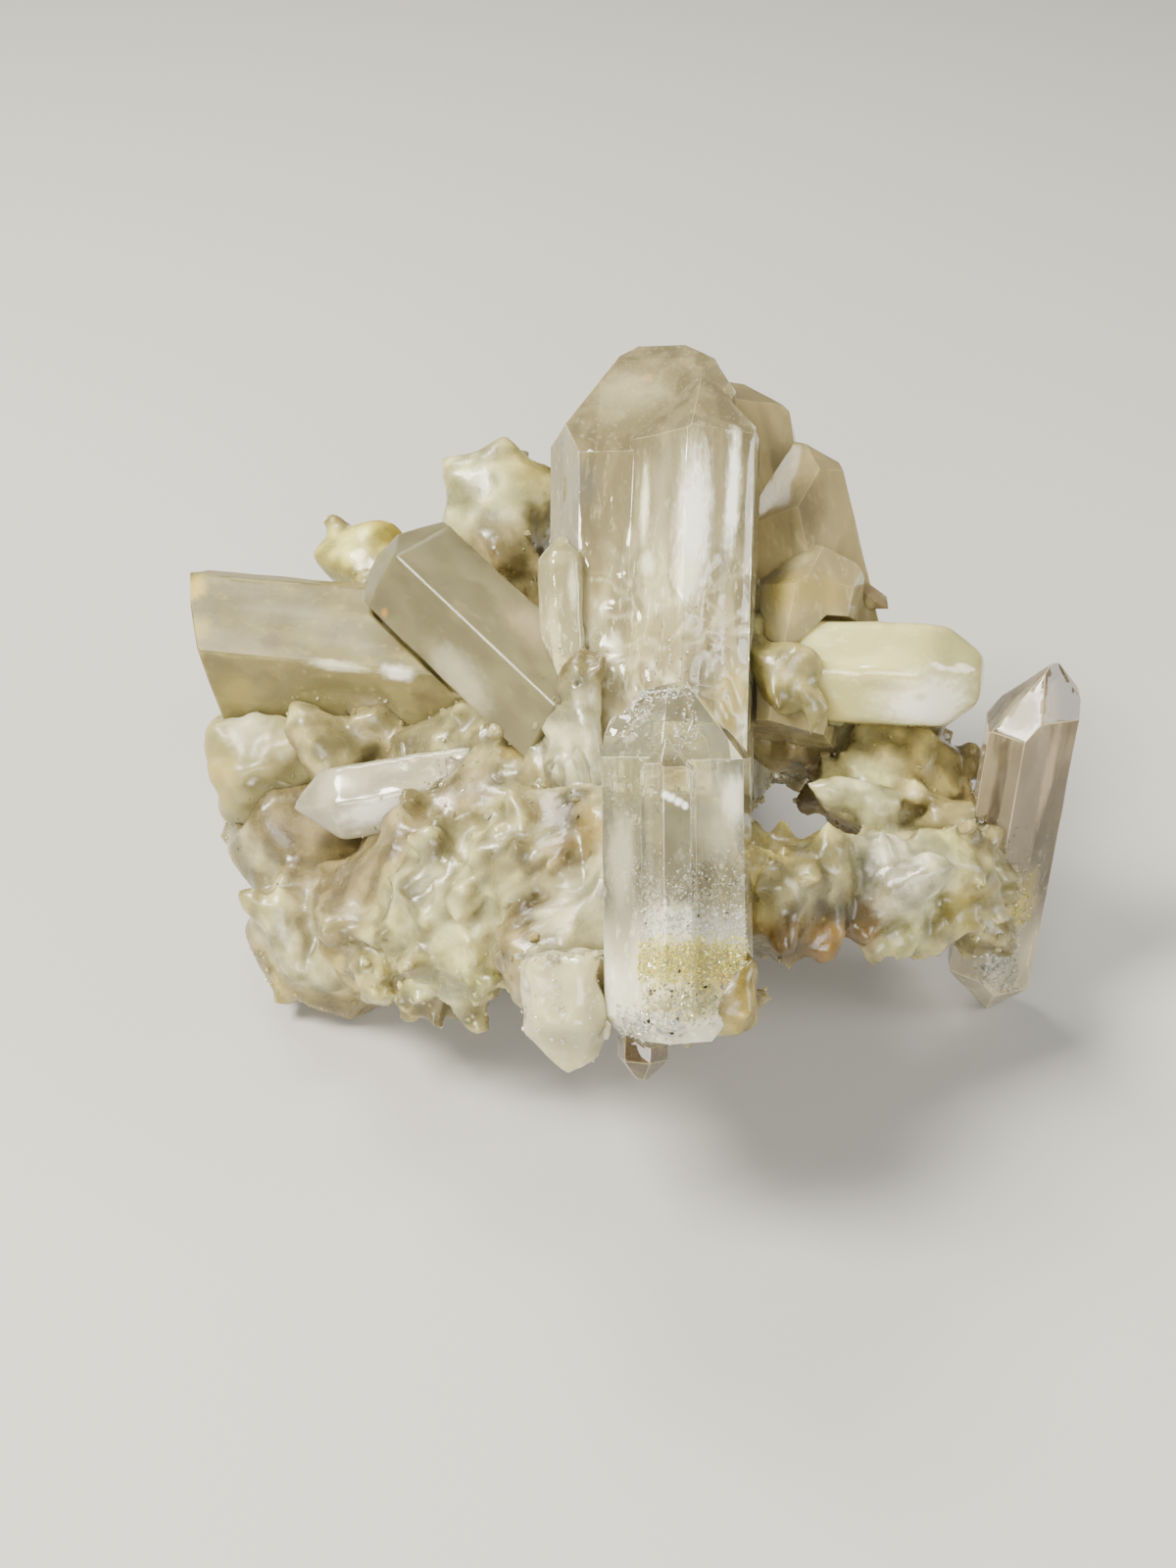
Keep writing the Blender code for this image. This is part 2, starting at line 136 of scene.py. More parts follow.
def make_floor():
    mesh = bpy.data.meshes.new("floor")
    corners = [(x * FLOOR_REACH, y * FLOOR_REACH, 0.0) for x, y in ((-1, -1), (1, -1), (1, 1), (-1, 1))]
    mesh.from_pydata(corners, [], [(0, 1, 2, 3)])
    floor = put(bpy.data.objects.new("floor", mesh))
    floor.location.z = -FLOOR_DROP
    made = bpy.data.materials.new("pale_floor")
    made.use_nodes = True
    shader = made.node_tree.nodes["Principled BSDF"]
    shader.inputs["Base Color"].default_value = FLOOR_COLOR
    shader.inputs["Roughness"].default_value = FLOOR_ROUGHNESS
    mesh.materials.append(made)


# Places found from the photograph.


def tree_of(nodes):
    """A search tree over the surfaces of these nodes."""
    points, faces = [], []
    for node in nodes:
        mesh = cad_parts[node].data
        start = len(points)
        points += [vertex.co.copy() for vertex in mesh.vertices]
        faces += [[start + index for index in face.vertices] for face in mesh.polygons]
    return BVHTree.FromPolygons(points, faces)


TREES = {node: tree_of([node]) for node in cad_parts}
ALL_CRYSTALS = tree_of(CRYSTALS)
AHEAD = Vector((0.0, math.cos(CAMERA_DOWN), -math.sin(CAMERA_DOWN)))


def photo_ray(pixel):
    """The way from the camera through a pixel of the photograph, 1 long along the middle of the view."""
    focus = CAMERA_LENS / CAMERA_SENSOR * max(PHOTO_SIZE)
    across = (pixel[0] - PHOTO_SIZE[0] / 2) / focus
    down = (pixel[1] - PHOTO_SIZE[1] / 2) / focus
    below = Vector((0.0, -math.sin(CAMERA_DOWN), -math.cos(CAMERA_DOWN)))
    return AHEAD + Vector((across, 0.0, 0.0)) + below * down


def on_photo(node, pixel):
    """Where this node's surface lies behind a pixel of the photograph, or its nearest point, in metres."""
    ray = photo_ray(pixel).normalized()
    found = TREES[node].ray_cast(EYE, ray)[0]
    if found is None:
        middle = sum(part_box(node), Vector()) / 2
        found = TREES[node].find_nearest(EYE + ray * (middle - EYE).dot(ray))[0]
    return found


def held(points):
    """The points in millimetres, held just inside the box of the solids."""
    return np.clip(points, LOW_MM + BOX_GAP, HIGH_MM - BOX_GAP)


def noise_at(points, scale, shift=(0.0, 0.0, 0.0)):
    """Noise from -1 to 1 at each of the points in millimetres."""
    shift = Vector(shift)
    return np.array([noise.noise(Vector(point) * scale + shift) for point in points])


def jitter(rng, most):
    """A small move, this much or less along each axis."""
    return Vector([rng.uniform(-most, most) for _ in range(3)])


def any_way(rng):
    return Vector([rng.gauss(0.0, 1.0) for _ in range(3)]).normalized()


# Nodes of the materials.


class Nodes:
    """Adds shader nodes to a material and links them. Places are in millimetres of the frame."""

    def __init__(self, name):
        self.material = bpy.data.materials.new(name)
        self.material.use_nodes = True
        self.tree = self.material.node_tree
        self.shader = self.tree.nodes["Principled BSDF"]
        place = self.tree.nodes.new("ShaderNodeTexCoord").outputs["Object"]
        self.place = self.vector("SCALE", place, scale=1.0 / MM)

    def link(self, value, socket):
        if isinstance(value, bpy.types.NodeSocket):
            self.tree.links.new(value, socket)
        else:
            socket.default_value = value

    def vector(self, operation, first, second=None, scale=None):
        node = self.tree.nodes.new("ShaderNodeVectorMath")
        node.operation = operation
        self.link(first, node.inputs[0])
        if second is not None:
            self.link(second, node.inputs[1])
        if scale is not None:
            self.link(scale, node.inputs["Scale"])
        return node.outputs["Value" if operation in ("DOT_PRODUCT", "LENGTH") else "Vector"]

    def math(self, operation, *values, clamp=False):
        node = self.tree.nodes.new("ShaderNodeMath")
        node.operation = operation
        node.use_clamp = clamp
        for value, socket in zip(values, node.inputs):
            self.link(value, socket)
        return node.outputs[0]

    def times(self, first, second):
        return self.math("MULTIPLY", first, second)

    def ramp(self, value, start, end, low=0.0, high=1.0):
        """low where value is start, high where it is end, and held outside."""
        node = self.tree.nodes.new("ShaderNodeMapRange")
        node.interpolation_type = "SMOOTHSTEP"
        self.link(value, node.inputs["Value"])
        for name, number in (("From Min", start), ("From Max", end), ("To Min", low), ("To Max", high)):
            node.inputs[name].default_value = number
        return node.outputs["Result"]

    def noise(self, size, detail=2.0, rough=0.55, place=None, shift=0.0, distortion=0.0):
        """Noise from 0 to 1 with blobs of about this size in millimetres."""
        node = self.tree.nodes.new("ShaderNodeTexNoise")
        moved = self.vector("ADD", place or self.place, (shift, 2.3 * shift, -1.7 * shift))
        self.link(moved, node.inputs["Vector"])
        node.inputs["Scale"].default_value = 1.0 / size
        node.inputs["Detail"].default_value = detail
        node.inputs["Roughness"].default_value = rough
        node.inputs["Distortion"].default_value = distortion
        return node.outputs["Fac"]

    def cells(self, size, shift=0.0):
        node = self.tree.nodes.new("ShaderNodeTexVoronoi")
        self.link(self.vector("ADD", self.place, (shift, -shift, 1.3 * shift)), node.inputs["Vector"])
        node.inputs["Scale"].default_value = 1.0 / size
        return node.outputs["Distance"]

    def mix(self, amount, first, second):
        node = self.tree.nodes.new("ShaderNodeMix")
        node.data_type = "RGBA"
        self.link(amount, node.inputs[0])
        self.link(first, node.inputs[6])
        self.link(second, node.inputs[7])
        return node.outputs[2]

    def painted(self, name):
        """A colour that the mesh carries."""
        node = self.tree.nodes.new("ShaderNodeAttribute")
        node.attribute_name = name
        return node.outputs["Color"]

    def own_chance(self):
        """A number from 0 to 1 that is the same all over one loose shape of the mesh."""
        return self.tree.nodes.new("ShaderNodeNewGeometry").outputs["Random Per Island"]

    def bump(self, height, strength, distance, normal=None):
        """distance is in millimetres."""
        node = self.tree.nodes.new("ShaderNodeBump")
        node.inputs["Strength"].default_value = strength
        node.inputs["Distance"].default_value = distance * MM
        self.link(height, node.inputs["Height"])
        if normal is not None:
            self.link(normal, node.inputs["Normal"])
        return node.outputs["Normal"]

    def absorb(self, color, density):
        node = self.tree.nodes.new("ShaderNodeVolumeAbsorption")
        node.inputs["Color"].default_value = (*color, 1.0)
        node.inputs["Density"].default_value = density
        output = self.tree.nodes["Material Output"]
        self.tree.links.new(node.outputs["Volume"], output.inputs["Volume"])

    def set(self, name, value):
        self.link(value, self.shader.inputs[name])

    def glow(self, weight, radius):
        """Light that spreads under the surface, radius in millimetres for red, green and blue."""
        self.set("Subsurface Weight", weight)
        self.set("Subsurface Radius", tuple(part * MM for part in radius))
        self.set("Subsurface Scale", 1.0)


def shade(color, factor=1.0):
    return tuple(part * factor for part in color) + (1.0,)


# The look of one crystal.


def axis_of(node):
    """The root and the tip of a crystal in millimetres. The root is the end that lies nearer the crust."""
    points = np.array([vertex.co[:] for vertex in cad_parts[node].data.vertices]) / MM
    middle = points.mean(axis=0)
    along = np.linalg.svd(points - middle)[2][0]
    reach = (points - middle) @ along
    ends = [Vector(middle + along * reach.min()), Vector(middle + along * reach.max())]
    ends.sort(key=lambda end: TREES["matrix"].find_nearest(end * MM)[3])
    return ends


def crystal_material(node, look, seed):
    root, tip = axis_of(node)
    made = Nodes("look_" + node)
    along = (tip - root).normalized()
    length = (tip - root).length
    height = made.vector("DOT_PRODUCT", made.place, tuple(along))
    start = along.dot(root)
    clear_from, clear_to = (start + share * length for share in look["rise"])
    rise = made.ramp(height, clear_from, clear_to, *look["clear"])
    # Veils and clouds drawn out along the crystal, fading towards its tip
    drawn = made.times(height, look["draw"])
    squeezed = made.vector("SUBTRACT", made.place, made.vector("SCALE", tuple(along), scale=drawn))
    clouds = made.noise(look["cloud_size"], 1.0, 0.5, squeezed, seed, 0.3)
    wisps = made.noise(0.22 * look["cloud_size"], 2.0, 0.6, squeezed, seed + 9.0)
    fading = made.ramp(height, start + 0.25 * length, start + 0.65 * length, 1.0, look["tip_veil"])
    cloudy = made.times(made.ramp(clouds, 0.42, 0.66, 0.0, look["cloudy"]), fading)
    wispy = made.times(made.ramp(wisps, 0.54, 0.72, 0.0, look["wispy"]), fading)
    veil = made.math("ADD", cloudy, wispy, clamp=True)
    rims = None
    if look["rims"]:
        # Bright curved rims and brownish hollows, where the root is full of grown-in crystals
        near_root = made.ramp(height, start + 0.30 * length, start + 0.56 * length, 1.0, 0.0)
        lumpy = made.noise(look["rims"], 1.0, 0.45, None, seed + 5.0, 0.8)
        off_middle = made.math("ABSOLUTE", made.math("SUBTRACT", lumpy, 0.5))
        rims = made.times(made.ramp(off_middle, 0.0, 0.11, 1.0, 0.0), near_root)
        hollows = made.times(made.ramp(lumpy, 0.55, 0.68), near_root)
        veil = made.math("ADD", veil, made.times(rims, 0.25), clamp=True)
    see_through = made.math("SUBTRACT", rise, veil, clamp=True)
    tint = made.mix(made.ramp(clouds, 0.3, 0.7), shade(look["body"], 0.93), shade(look["body"], 1.05))
    tint = made.mix(wispy, tint, shade(look["haze"]))
    if rims:
        tint = made.mix(made.times(rims, 0.28), tint, shade(look["haze"]))
        tint = made.mix(made.times(hollows, 0.55), tint, shade(BEIGE, 0.7))
    matt = veil
    if look["worn"]:
        on_edge = made.times(made.painted("edges"), look["worn"])
        tint = made.mix(on_edge, tint, shade(look["haze"], 1.1))
        see_through = made.math("SUBTRACT", see_through, made.times(on_edge, 0.5), clamp=True)
    # Stains, painted highlights and painted shade, each a soft spot of colour that also takes clearness away.
    for pixel, radius, stretch, color, amount, clearing in look["stains_and_painted_light"]:
        centre = on_photo(node, pixel) / MM
        away = made.vector("SUBTRACT", made.place, tuple(centre))
        if stretch != 1.0:
            back = made.times(made.vector("DOT_PRODUCT", away, tuple(along)), 1.0 - 1.0 / stretch)
            away = made.vector("SUBTRACT", away, made.vector("SCALE", tuple(along), scale=back))
        spread = made.math("ADD", made.vector("LENGTH", away), made.times(wisps, 0.9 * radius))
        spot = made.ramp(spread, 0.75 * radius, 1.65 * radius, amount, 0.0)
        tint = made.mix(spot, tint, shade(color))
        cleared = made.times(spot, clearing)
        see_through = made.times(see_through, made.math("SUBTRACT", 1.0, cleared))
        matt = made.math("MAXIMUM", matt, cleared)
    # Growth lines across the crystal and low waves in its faces
    lines = made.noise(0.45, 0.0, 0.5, made.vector("SCALE", tuple(along), scale=height), seed)
    normal = made.bump(lines, look["lines"], 0.05)
    normal = made.bump(wisps, look["rough_bump"], 0.10, normal)
    if rims:
        normal = made.bump(made.times(lumpy, near_root), 0.6, 1.2, normal)
    made.set("Base Color", tint)
    made.set("Roughness", made.math("ADD", look["roughness"], made.times(matt, 0.30)))
    made.set("IOR", QUARTZ_IOR)
    made.set("Transmission Weight", see_through)
    made.set("Normal", normal)
    made.set("Specular IOR Level", look["specular"])
    made.set("Coat Weight", look["coat"])
    made.set("Coat Roughness", 0.03)
    if look["glow"]:
        made.glow(look["glow"], (2.6, 2.2, 1.5))
    if look["absorb"]:
        made.absorb(*look["absorb"])
    return made.material


# Colours are linear.
WARM_WHITE = (0.84, 0.82, 0.60)
CREAM = (0.70, 0.64, 0.34)
BEIGE = (0.44, 0.37, 0.18)
GREY_BEIGE = (0.40, 0.37, 0.24)
OLIVE = (0.33, 0.26, 0.07)
YELLOW = (0.62, 0.49, 0.12)
ORANGE = (0.55, 0.28, 0.05)
TAN = (0.56, 0.44, 0.27)
DARK = (0.14, 0.10, 0.05)
BLACK = (0.02, 0.018, 0.014)

PLAIN_LOOK = {
    "clear": (0.25, 0.70),
    "rise": (0.15, 0.80),
    "draw": 0.60,
    "cloud_size": 2.2,
    "cloudy": 0.25,
    "wispy": 0.30,
    "tip_veil": 0.25,
    "body": (0.60, 0.52, 0.32),
    "haze": WARM_WHITE,
    "roughness": 0.03,
    "rough_bump": 0.05,
    "lines": 0.08,
    "worn": 0.5,
    "coat": 0.4,
    "glow": 0.5,
    "absorb": None,
    "specular": 0.5,
    "rims": 0.0,
    "stains_and_painted_light": (),
}

# How each crystal differs from the plain look. Its marks, stains and painted highlights and painted shade,
# are (pixel of the photograph, radius in millimetres, stretch along the crystal, colour, amount, how much
# less clear it is there).
LOOKS = {
    "main_spire": {
        "clear": (0.20, 0.62), "rise": (0.22, 0.60), "absorb": ((0.88, 0.79, 0.56), 60.0), "draw": 0.7,
        "cloudy": 0.55, "wispy": 0.55, "cloud_size": 1.6, "body": (0.37, 0.32, 0.18), "lines": 0.06,
        "rims": 2.4,
        "stains_and_painted_light": (
            ((660, 386), 0.6, 1.0, ORANGE, 0.6, 0.5),
            ((640, 400), 3.6, 1.0, (0.62, 0.55, 0.33), 0.6, 0.4),
            # Painted shade: a grey stain that darkens one facet of the top.
            ((592, 495), 1.8, 1.2, (0.30, 0.29, 0.24), 0.6, 0.0),
            ((690, 520), 4.6, 1.5, (0.72, 0.66, 0.44), 0.45, 0.25),
            ((690, 690), 3.4, 1.0, (0.28, 0.23, 0.13), 0.35, 0.0),
            ((628, 660), 0.5, 2.5, WARM_WHITE, 0.7, 0.6),
            ((683, 700), 0.6, 2.0, WARM_WHITE, 0.6, 0.6),
            ((722, 700), 0.7, 1.0, (0.22, 0.19, 0.12), 0.5, 0.0),
            ((640, 720), 0.6, 1.0, (0.26, 0.21, 0.13), 0.5, 0.0),
            # Painted reflection: the next four stains paint the bright upright reflection bands as near-white
            # streaks.
            ((708, 530), 1.4, 4.5, (0.97, 0.96, 0.86), 1.0, 1.0),
            ((658, 515), 0.45, 8.0, WARM_WHITE, 0.9, 0.95),
            ((748, 500), 0.6, 9.0, (0.97, 0.96, 0.86), 1.0, 1.0),
            ((769, 500), 0.65, 9.0, (0.97, 0.96, 0.86), 1.0, 1.0),
            ((700, 585), 1.3, 1.3, WARM_WHITE, 0.9, 0.9),
            ((660, 575), 0.8, 1.3, WARM_WHITE, 0.7, 0.8),
            ((600, 600), 1.6, 2.0, BEIGE, 0.6, 0.2),
            ((600, 720), 1.3, 1.5, BEIGE, 0.7, 0.2),
            ((650, 660), 1.6, 1.5, BEIGE, 0.5, 0.4),
            ((735, 630), 1.2, 1.5, TAN, 0.5, 0.4),
            ((747, 708), 1.5, 1.5, YELLOW, 0.6, 0.5),
            ((738, 735), 1.2, 1.0, OLIVE, 0.6, 0.5),
        ),
    },
    "rear_right_crystals": {
        "clear": (0.40, 0.55), "body": (0.42, 0.35, 0.18), "haze": CREAM, "roughness": 0.14, "coat": 0.1,
        "specular": 0.15, "absorb": ((0.86, 0.76, 0.48), 80.0), "cloudy": 0.15, "wispy": 0.15,
        "stains_and_painted_light": (
            ((800, 600), 2.2, 1.0, OLIVE, 0.75, 0.6),
            ((845, 605), 1.6, 1.0, OLIVE, 0.6, 0.6),
            ((775, 650), 1.6, 1.0, YELLOW, 0.5, 0.6),
            ((815, 572), 1.2, 1.0, CREAM, 0.5, 0.6),
            ((820, 660), 1.4, 1.0, CREAM, 0.5, 0.6),
            # Painted shade: the next two stains darken one facet.
            ((806, 515), 2.6, 1.6, (0.20, 0.165, 0.10), 0.6, 0.0),
            ((796, 470), 1.6, 1.2, (0.22, 0.18, 0.11), 0.5, 0.0),
        ),
    },
    "lateral_crystal": {
        "clear": (0.10, 0.35), "rise": (0.3, 1.0), "body": (0.64, 0.59, 0.27), "roughness": 0.10,
        "glow": 0.8, "draw": 0.4, "cloudy": 0.15, "wispy": 0.15, "tip_veil": 0.6, "worn": 0.0,
        "stains_and_painted_light": (
            ((950, 722), 3.0, 1.4, (0.96, 0.94, 0.76), 1.0, 0.8),
            ((900, 700), 0.5, 5.0, GREY_BEIGE, 0.35, 0.0),
            ((940, 712), 0.4, 1.5, GREY_BEIGE, 0.5, 0.0),
            ((845, 725), 1.2, 1.0, YELLOW, 0.35, 0.3),
        ),
    },
    "far_right_crystal": {
        "clear": (0.35, 0.90), "rise": (0.22, 0.45), "absorb": ((0.80, 0.71, 0.54), 100.0), "cloudy": 0.15,
        "wispy": 0.25, "body": (0.50, 0.44, 0.32), "haze": (0.56, 0.45, 0.30), "roughness": 0.10,
        "worn": 0.8, "coat": 0.0, "specular": 0.2,
        "stains_and_painted_light": (
            ((1070, 790), 0.5, 9.0, TAN, 0.7, 0.7),
            # Painted shade: a dark, nearly opaque stain over one facet.
            ((1044, 728), 1.7, 1.5, (0.30, 0.25, 0.17), 0.9, 0.85),
            ((1048, 775), 1.0, 3.0, (0.26, 0.21, 0.14), 0.7, 0.2),
            ((1035, 925), 1.8, 1.5, YELLOW, 0.8, 0.7),
            ((1050, 900), 1.0, 1.5, OLIVE, 0.6, 0.5),
            ((1015, 985), 1.6, 1.0, (0.46, 0.44, 0.36), 0.7, 0.6),
        ),
    },
    "front_crystal": {
        "clear": (0.30, 0.90), "rise": (0.22, 0.42), "absorb": ((0.93, 0.88, 0.76), 24.0),
        "worn": 0.8, "body": (0.92, 0.88, 0.67), "cloudy": 0.10, "wispy": 0.30,
        "draw": 0.5, "roughness": 0.01, "tip_veil": 0.15,
        "stains_and_painted_light": (
            ((634, 880), 1.2, 3.0, WARM_WHITE, 0.6, 0.5),
            ((634, 960), 1.2, 2.0, GREY_BEIGE, 0.4, 0.2),
            ((748, 815), 0.9, 2.0, (0.94, 0.92, 0.76), 0.9, 0.8),
            ((728, 835), 2.0, 1.6, WARM_WHITE, 0.55, 0.5),
            ((725, 810), 0.5, 2.0, YELLOW, 0.25, 0.3),
            # Painted highlight: the next four stains paint a slanted white glint.
            ((679, 811), 0.28, 1.0, (0.96, 0.95, 0.92), 1.0, 1.0),
            ((685, 814), 0.30, 1.0, (0.96, 0.95, 0.92), 1.0, 1.0),
            ((692, 818), 0.30, 1.0, (0.96, 0.95, 0.92), 1.0, 1.0),
            ((699, 822), 0.26, 1.0, (0.96, 0.95, 0.92), 1.0, 1.0),
            # Painted shade on a dark facet near the top.
            ((686, 784), 1.0, 1.0, (0.36, 0.31, 0.22), 0.7, 0.0),
            ((680, 880), 1.8, 1.0, (0.50, 0.43, 0.29), 0.5, 0.1),
            ((690, 947), 2.2, 0.7, WARM_WHITE, 0.95, 0.95),
            ((700, 984), 3.2, 0.6, (0.72, 0.57, 0.12), 0.95, 0.95),
            ((728, 1002), 2.2, 0.7, (0.60, 0.46, 0.10), 0.85, 0.85),
            ((705, 1030), 2.8, 0.7, (0.64, 0.56, 0.26), 0.9, 0.9),
            ((745, 985), 1.4, 0.8, ORANGE, 0.6, 0.6),
            ((690, 1035), 1.8, 0.6, CREAM, 0.7, 0.7),
            ((640, 1040), 1.2, 1.0, (0.80, 0.76, 0.58), 0.8, 0.7),
        ),
    },
    "front_white_crystal": {
        "clear": (0.05, 0.10), "body": (0.50, 0.46, 0.28), "roughness": 0.22, "rough_bump": 0.3,
        "coat": 0.2, "glow": 0.9, "draw": 0.2, "worn": 0.0,
    },
    "lower_tip": {
        "clear": (0.60, 0.70), "absorb": ((0.74, 0.58, 0.42), 260.0), "body": (0.16, 0.12, 0.07),
        "haze": BEIGE, "cloudy": 0.2, "wispy": 0.2,
    },
    "left_block": {
        "clear": (0.30, 0.42), "absorb": ((0.84, 0.74, 0.50), 90.0), "body": (0.25, 0.21, 0.085),
        "haze": (0.42, 0.35, 0.15), "roughness": 0.36, "coat": 0.0, "specular": 0.25, "cloudy": 0.30,
        "wispy": 0.30, "tip_veil": 0.6, "draw": 0.3, "worn": 0.0,
        "stains_and_painted_light": (
            ((196, 600), 1.4, 1.0, YELLOW, 0.8, 0.6),
            ((205, 640), 1.0, 1.0, YELLOW, 0.5, 0.4),
            ((240, 705), 1.8, 1.0, OLIVE, 0.7, 0.3),
            ((275, 655), 0.8, 1.0, DARK, 0.5, 0.3),
            ((380, 730), 1.8, 1.0, (0.62, 0.50, 0.32), 0.6, 0.5),
            # Painted highlights: the next two stains paint the bright line along the ridge.
            ((405, 687), 0.7, 2.0, (0.92, 0.90, 0.80), 0.9, 0.8),
            ((345, 680), 0.5, 5.0, WARM_WHITE, 0.7, 0.6),
            ((440, 715), 1.6, 1.0, DARK, 0.5, 0.1),
            ((390, 635), 1.2, 1.0, TAN, 0.5, 0.3),
        ),
    },
    "leaning_crystal": {
        "clear": (0.35, 0.50), "absorb": ((0.84, 0.75, 0.54), 80.0), "body": (0.23, 0.205, 0.105),
        "haze": BEIGE, "roughness": 0.38, "coat": 0.08, "specular": 0.35, "cloudy": 0.15, "wispy": 0.12,
        "tip_veil": 0.6, "draw": 0.4, "worn": 0.0,
        "stains_and_painted_light": (
            ((470, 690), 1.8, 2.0, (0.60, 0.55, 0.40), 0.5, 0.3),
            ((540, 640), 1.6, 2.0, TAN, 0.4, 0.2),
            ((383, 626), 0.4, 1.0, ORANGE, 0.7, 0.5),
        ),
    },
    "left_low_crystal": {
        "clear": (0.25, 0.45), "body": (0.50, 0.47, 0.34), "roughness": 0.08, "cloudy": 0.2, "draw": 0.4,
        "worn": 0.0,
        "stains_and_painted_light": (
            # Painted highlight on the upper edge.
            ((380, 828), 1.2, 2.4, (0.92, 0.91, 0.84), 0.9, 0.9),
            ((340, 800), 1.8, 1.6, WARM_WHITE, 0.4, 0.5),
            ((430, 790), 1.6, 1.0, GREY_BEIGE, 0.5, 0.2),
        ),
    },
    "left_chunk": {
        "clear": (0.08, 0.15), "body": (0.33, 0.295, 0.135), "roughness": 0.36, "rough_bump": 0.1,
        "coat": 0.08, "specular": 0.35, "glow": 0.9, "draw": 0.1, "worn": 0.0,
        "stains_and_painted_light": (
            ((225, 790), 2.2, 1.0, YELLOW, 0.35, 0.3),
            # Painted highlight: a small white spot.
            ((258, 800), 0.5, 1.0, (0.92, 0.91, 0.86), 1.0, 1.0),
            ((290, 760), 1.6, 1.0, (0.50, 0.42, 0.22), 0.5, 0.2),
            ((250, 740), 2.0, 1.0, WARM_WHITE, 0.5, 0.4),
        ),
    },
    "centre_crystal": {
        "clear": (0.30, 0.50), "absorb": ((0.86, 0.78, 0.54), 80.0), "body": (0.50, 0.45, 0.26),
        "cloudy": 0.4, "wispy": 0.5, "cloud_size": 1.2, "worn": 0.0,
        "stains_and_painted_light": (
            ((590, 720), 1.0, 1.5, BEIGE, 0.5, 0.2),
            ((585, 600), 0.4, 5.0, WARM_WHITE, 0.8, 0.7),
        ),
    },
}


# The shapes of the crystals.


def plain_copy(node):
    """The node's own flat faces, as one closed mesh with no cuts across them, in metres."""
    bm = bmesh.new()
    bm.from_mesh(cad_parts[node].data)
    bmesh.ops.remove_doubles(bm, verts=bm.verts[:], dist=0.002 * MM)
    bmesh.ops.dissolve_limit(bm, angle_limit=math.radians(0.6), verts=bm.verts[:], edges=bm.edges[:])
    return bm


def arrays_of(mesh):
    """The points of a mesh and the ends of its edges, as arrays."""
    points = np.empty(3 * len(mesh.vertices))
    mesh.vertices.foreach_get("co", points)
    edges = np.empty(2 * len(mesh.edges), int)
    mesh.edges.foreach_get("vertices", edges)
    return points.reshape(-1, 3), edges.reshape(-1, 2)


def normals_of(mesh):
    normals = np.empty(3 * len(mesh.vertices))
    mesh.vertex_normals.foreach_get("vector", normals)
    return normals.reshape(-1, 3)


def move_to(mesh, points):
    mesh.vertices.foreach_set("co", points.ravel())
    mesh.update()


def modified(mesh, kind, **settings):
    """What one modifier makes of a mesh, in place of that mesh."""
    whole = put(bpy.data.objects.new("whole", mesh))
    modifier = whole.modifiers.new("only", kind)
    for name, value in settings.items():
        setattr(modifier, name, value)
    depsgraph = bpy.context.evaluated_depsgraph_get()
    made = bpy.data.meshes.new_from_object(whole.evaluated_get(depsgraph))
    bpy.data.objects.remove(whole)
    bpy.data.meshes.remove(mesh)
    return made


def skin_round(mesh, size):
    """One closed skin round all the shapes of a mesh in millimetres, with faces of this size."""
    return modified(mesh, "REMESH", mode="VOXEL", voxel_size=size)


def thinned(mesh, most):
    """The mesh with fewer faces where it is flat, and no more triangles than this."""
    triangles = sum(len(face.vertices) - 2 for face in mesh.polygons)
    return modified(mesh, "DECIMATE", ratio=min(1.0, most / triangles))


def relaxed(points, edges, rounds, share=0.5):
    """The points, each moved a share of the way to the middle of its neighbours, this many times."""
    ends = np.concatenate((edges, edges[:, ::-1]))
    count = np.bincount(ends[:, 0], minlength=len(points))
    for _ in range(rounds):
        sums = [np.bincount(ends[:, 0], points[ends[:, 1], axis], len(points)) for axis in range(3)]
        points = (1.0 - share) * points + share * np.stack(sums, axis=1) / count[:, None]
    return points


def new_piece(name, mesh, material, node=None):
    mesh.name = name
    mesh.materials.append(material)
    piece = put(bpy.data.objects.new(name, mesh))
    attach(piece, "root")
    if node:
        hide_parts(node)
    return piece


# How near to a plane a point counts as on it, in metres.
SLICE_REACH = 1e-7


def slice_across(bm, way, step):
    """Cuts the faces of bm along planes this far apart, so that they can bend there."""
    reach = [way.dot(vertex.co) for vertex in bm.verts]
    low, high = min(reach), max(reach)
    count = int((high - low) / step)
    for number in range(1, count + 1):
        place = way * (low + (high - low) * number / (count + 1))
        whole = bm.verts[:] + bm.edges[:] + bm.faces[:]
        bmesh.ops.bisect_plane(bm, geom=whole, dist=SLICE_REACH, plane_co=place, plane_no=way)


def in_order(bm, layer):
    """The points of bm, and its faces with their values in a layer, in the same order in each run."""
    vertices = sorted(bm.verts, key=lambda vertex: vertex.co[:])
    number = {vertex: index for index, vertex in enumerate(vertices)}
    faces = []
    for face in bm.faces:
        ring = [number[vertex] for vertex in face.verts]
        start = ring.index(min(ring))
        faces.append((ring[start:] + ring[:start], face[layer]))
    return [vertex.co[:] for vertex in vertices], sorted(faces)


def ribs(spot, seed):
    """From -1 to 1, in steps: the narrow upright ledges that growth leaves side by side."""
    broad = noise.noise(Vector((spot * 0.55, seed, 0.0)))
    wave = broad + 0.5 * noise.noise(Vector((spot * 1.9, seed, 4.0)))
    stepped = round(wave * 4.0) / 4.0
    return 0.35 * wave + 0.65 * stepped


def bitten(point, broken):
    """How far a point in metres is sunk where the crystal is broken, in millimetres."""
    sunk = 0.0
    for centre, radius, depth in broken:
        away = (point - centre).length / radius
        if away < 1.0:
            spot = point / MM
            splinters = 0.5 + abs(noise.noise(spot * 1.1)) + 0.5 * noise.noise(spot * 2.9)
            sunk += depth * (1.0 - away) * splinters
    return sunk


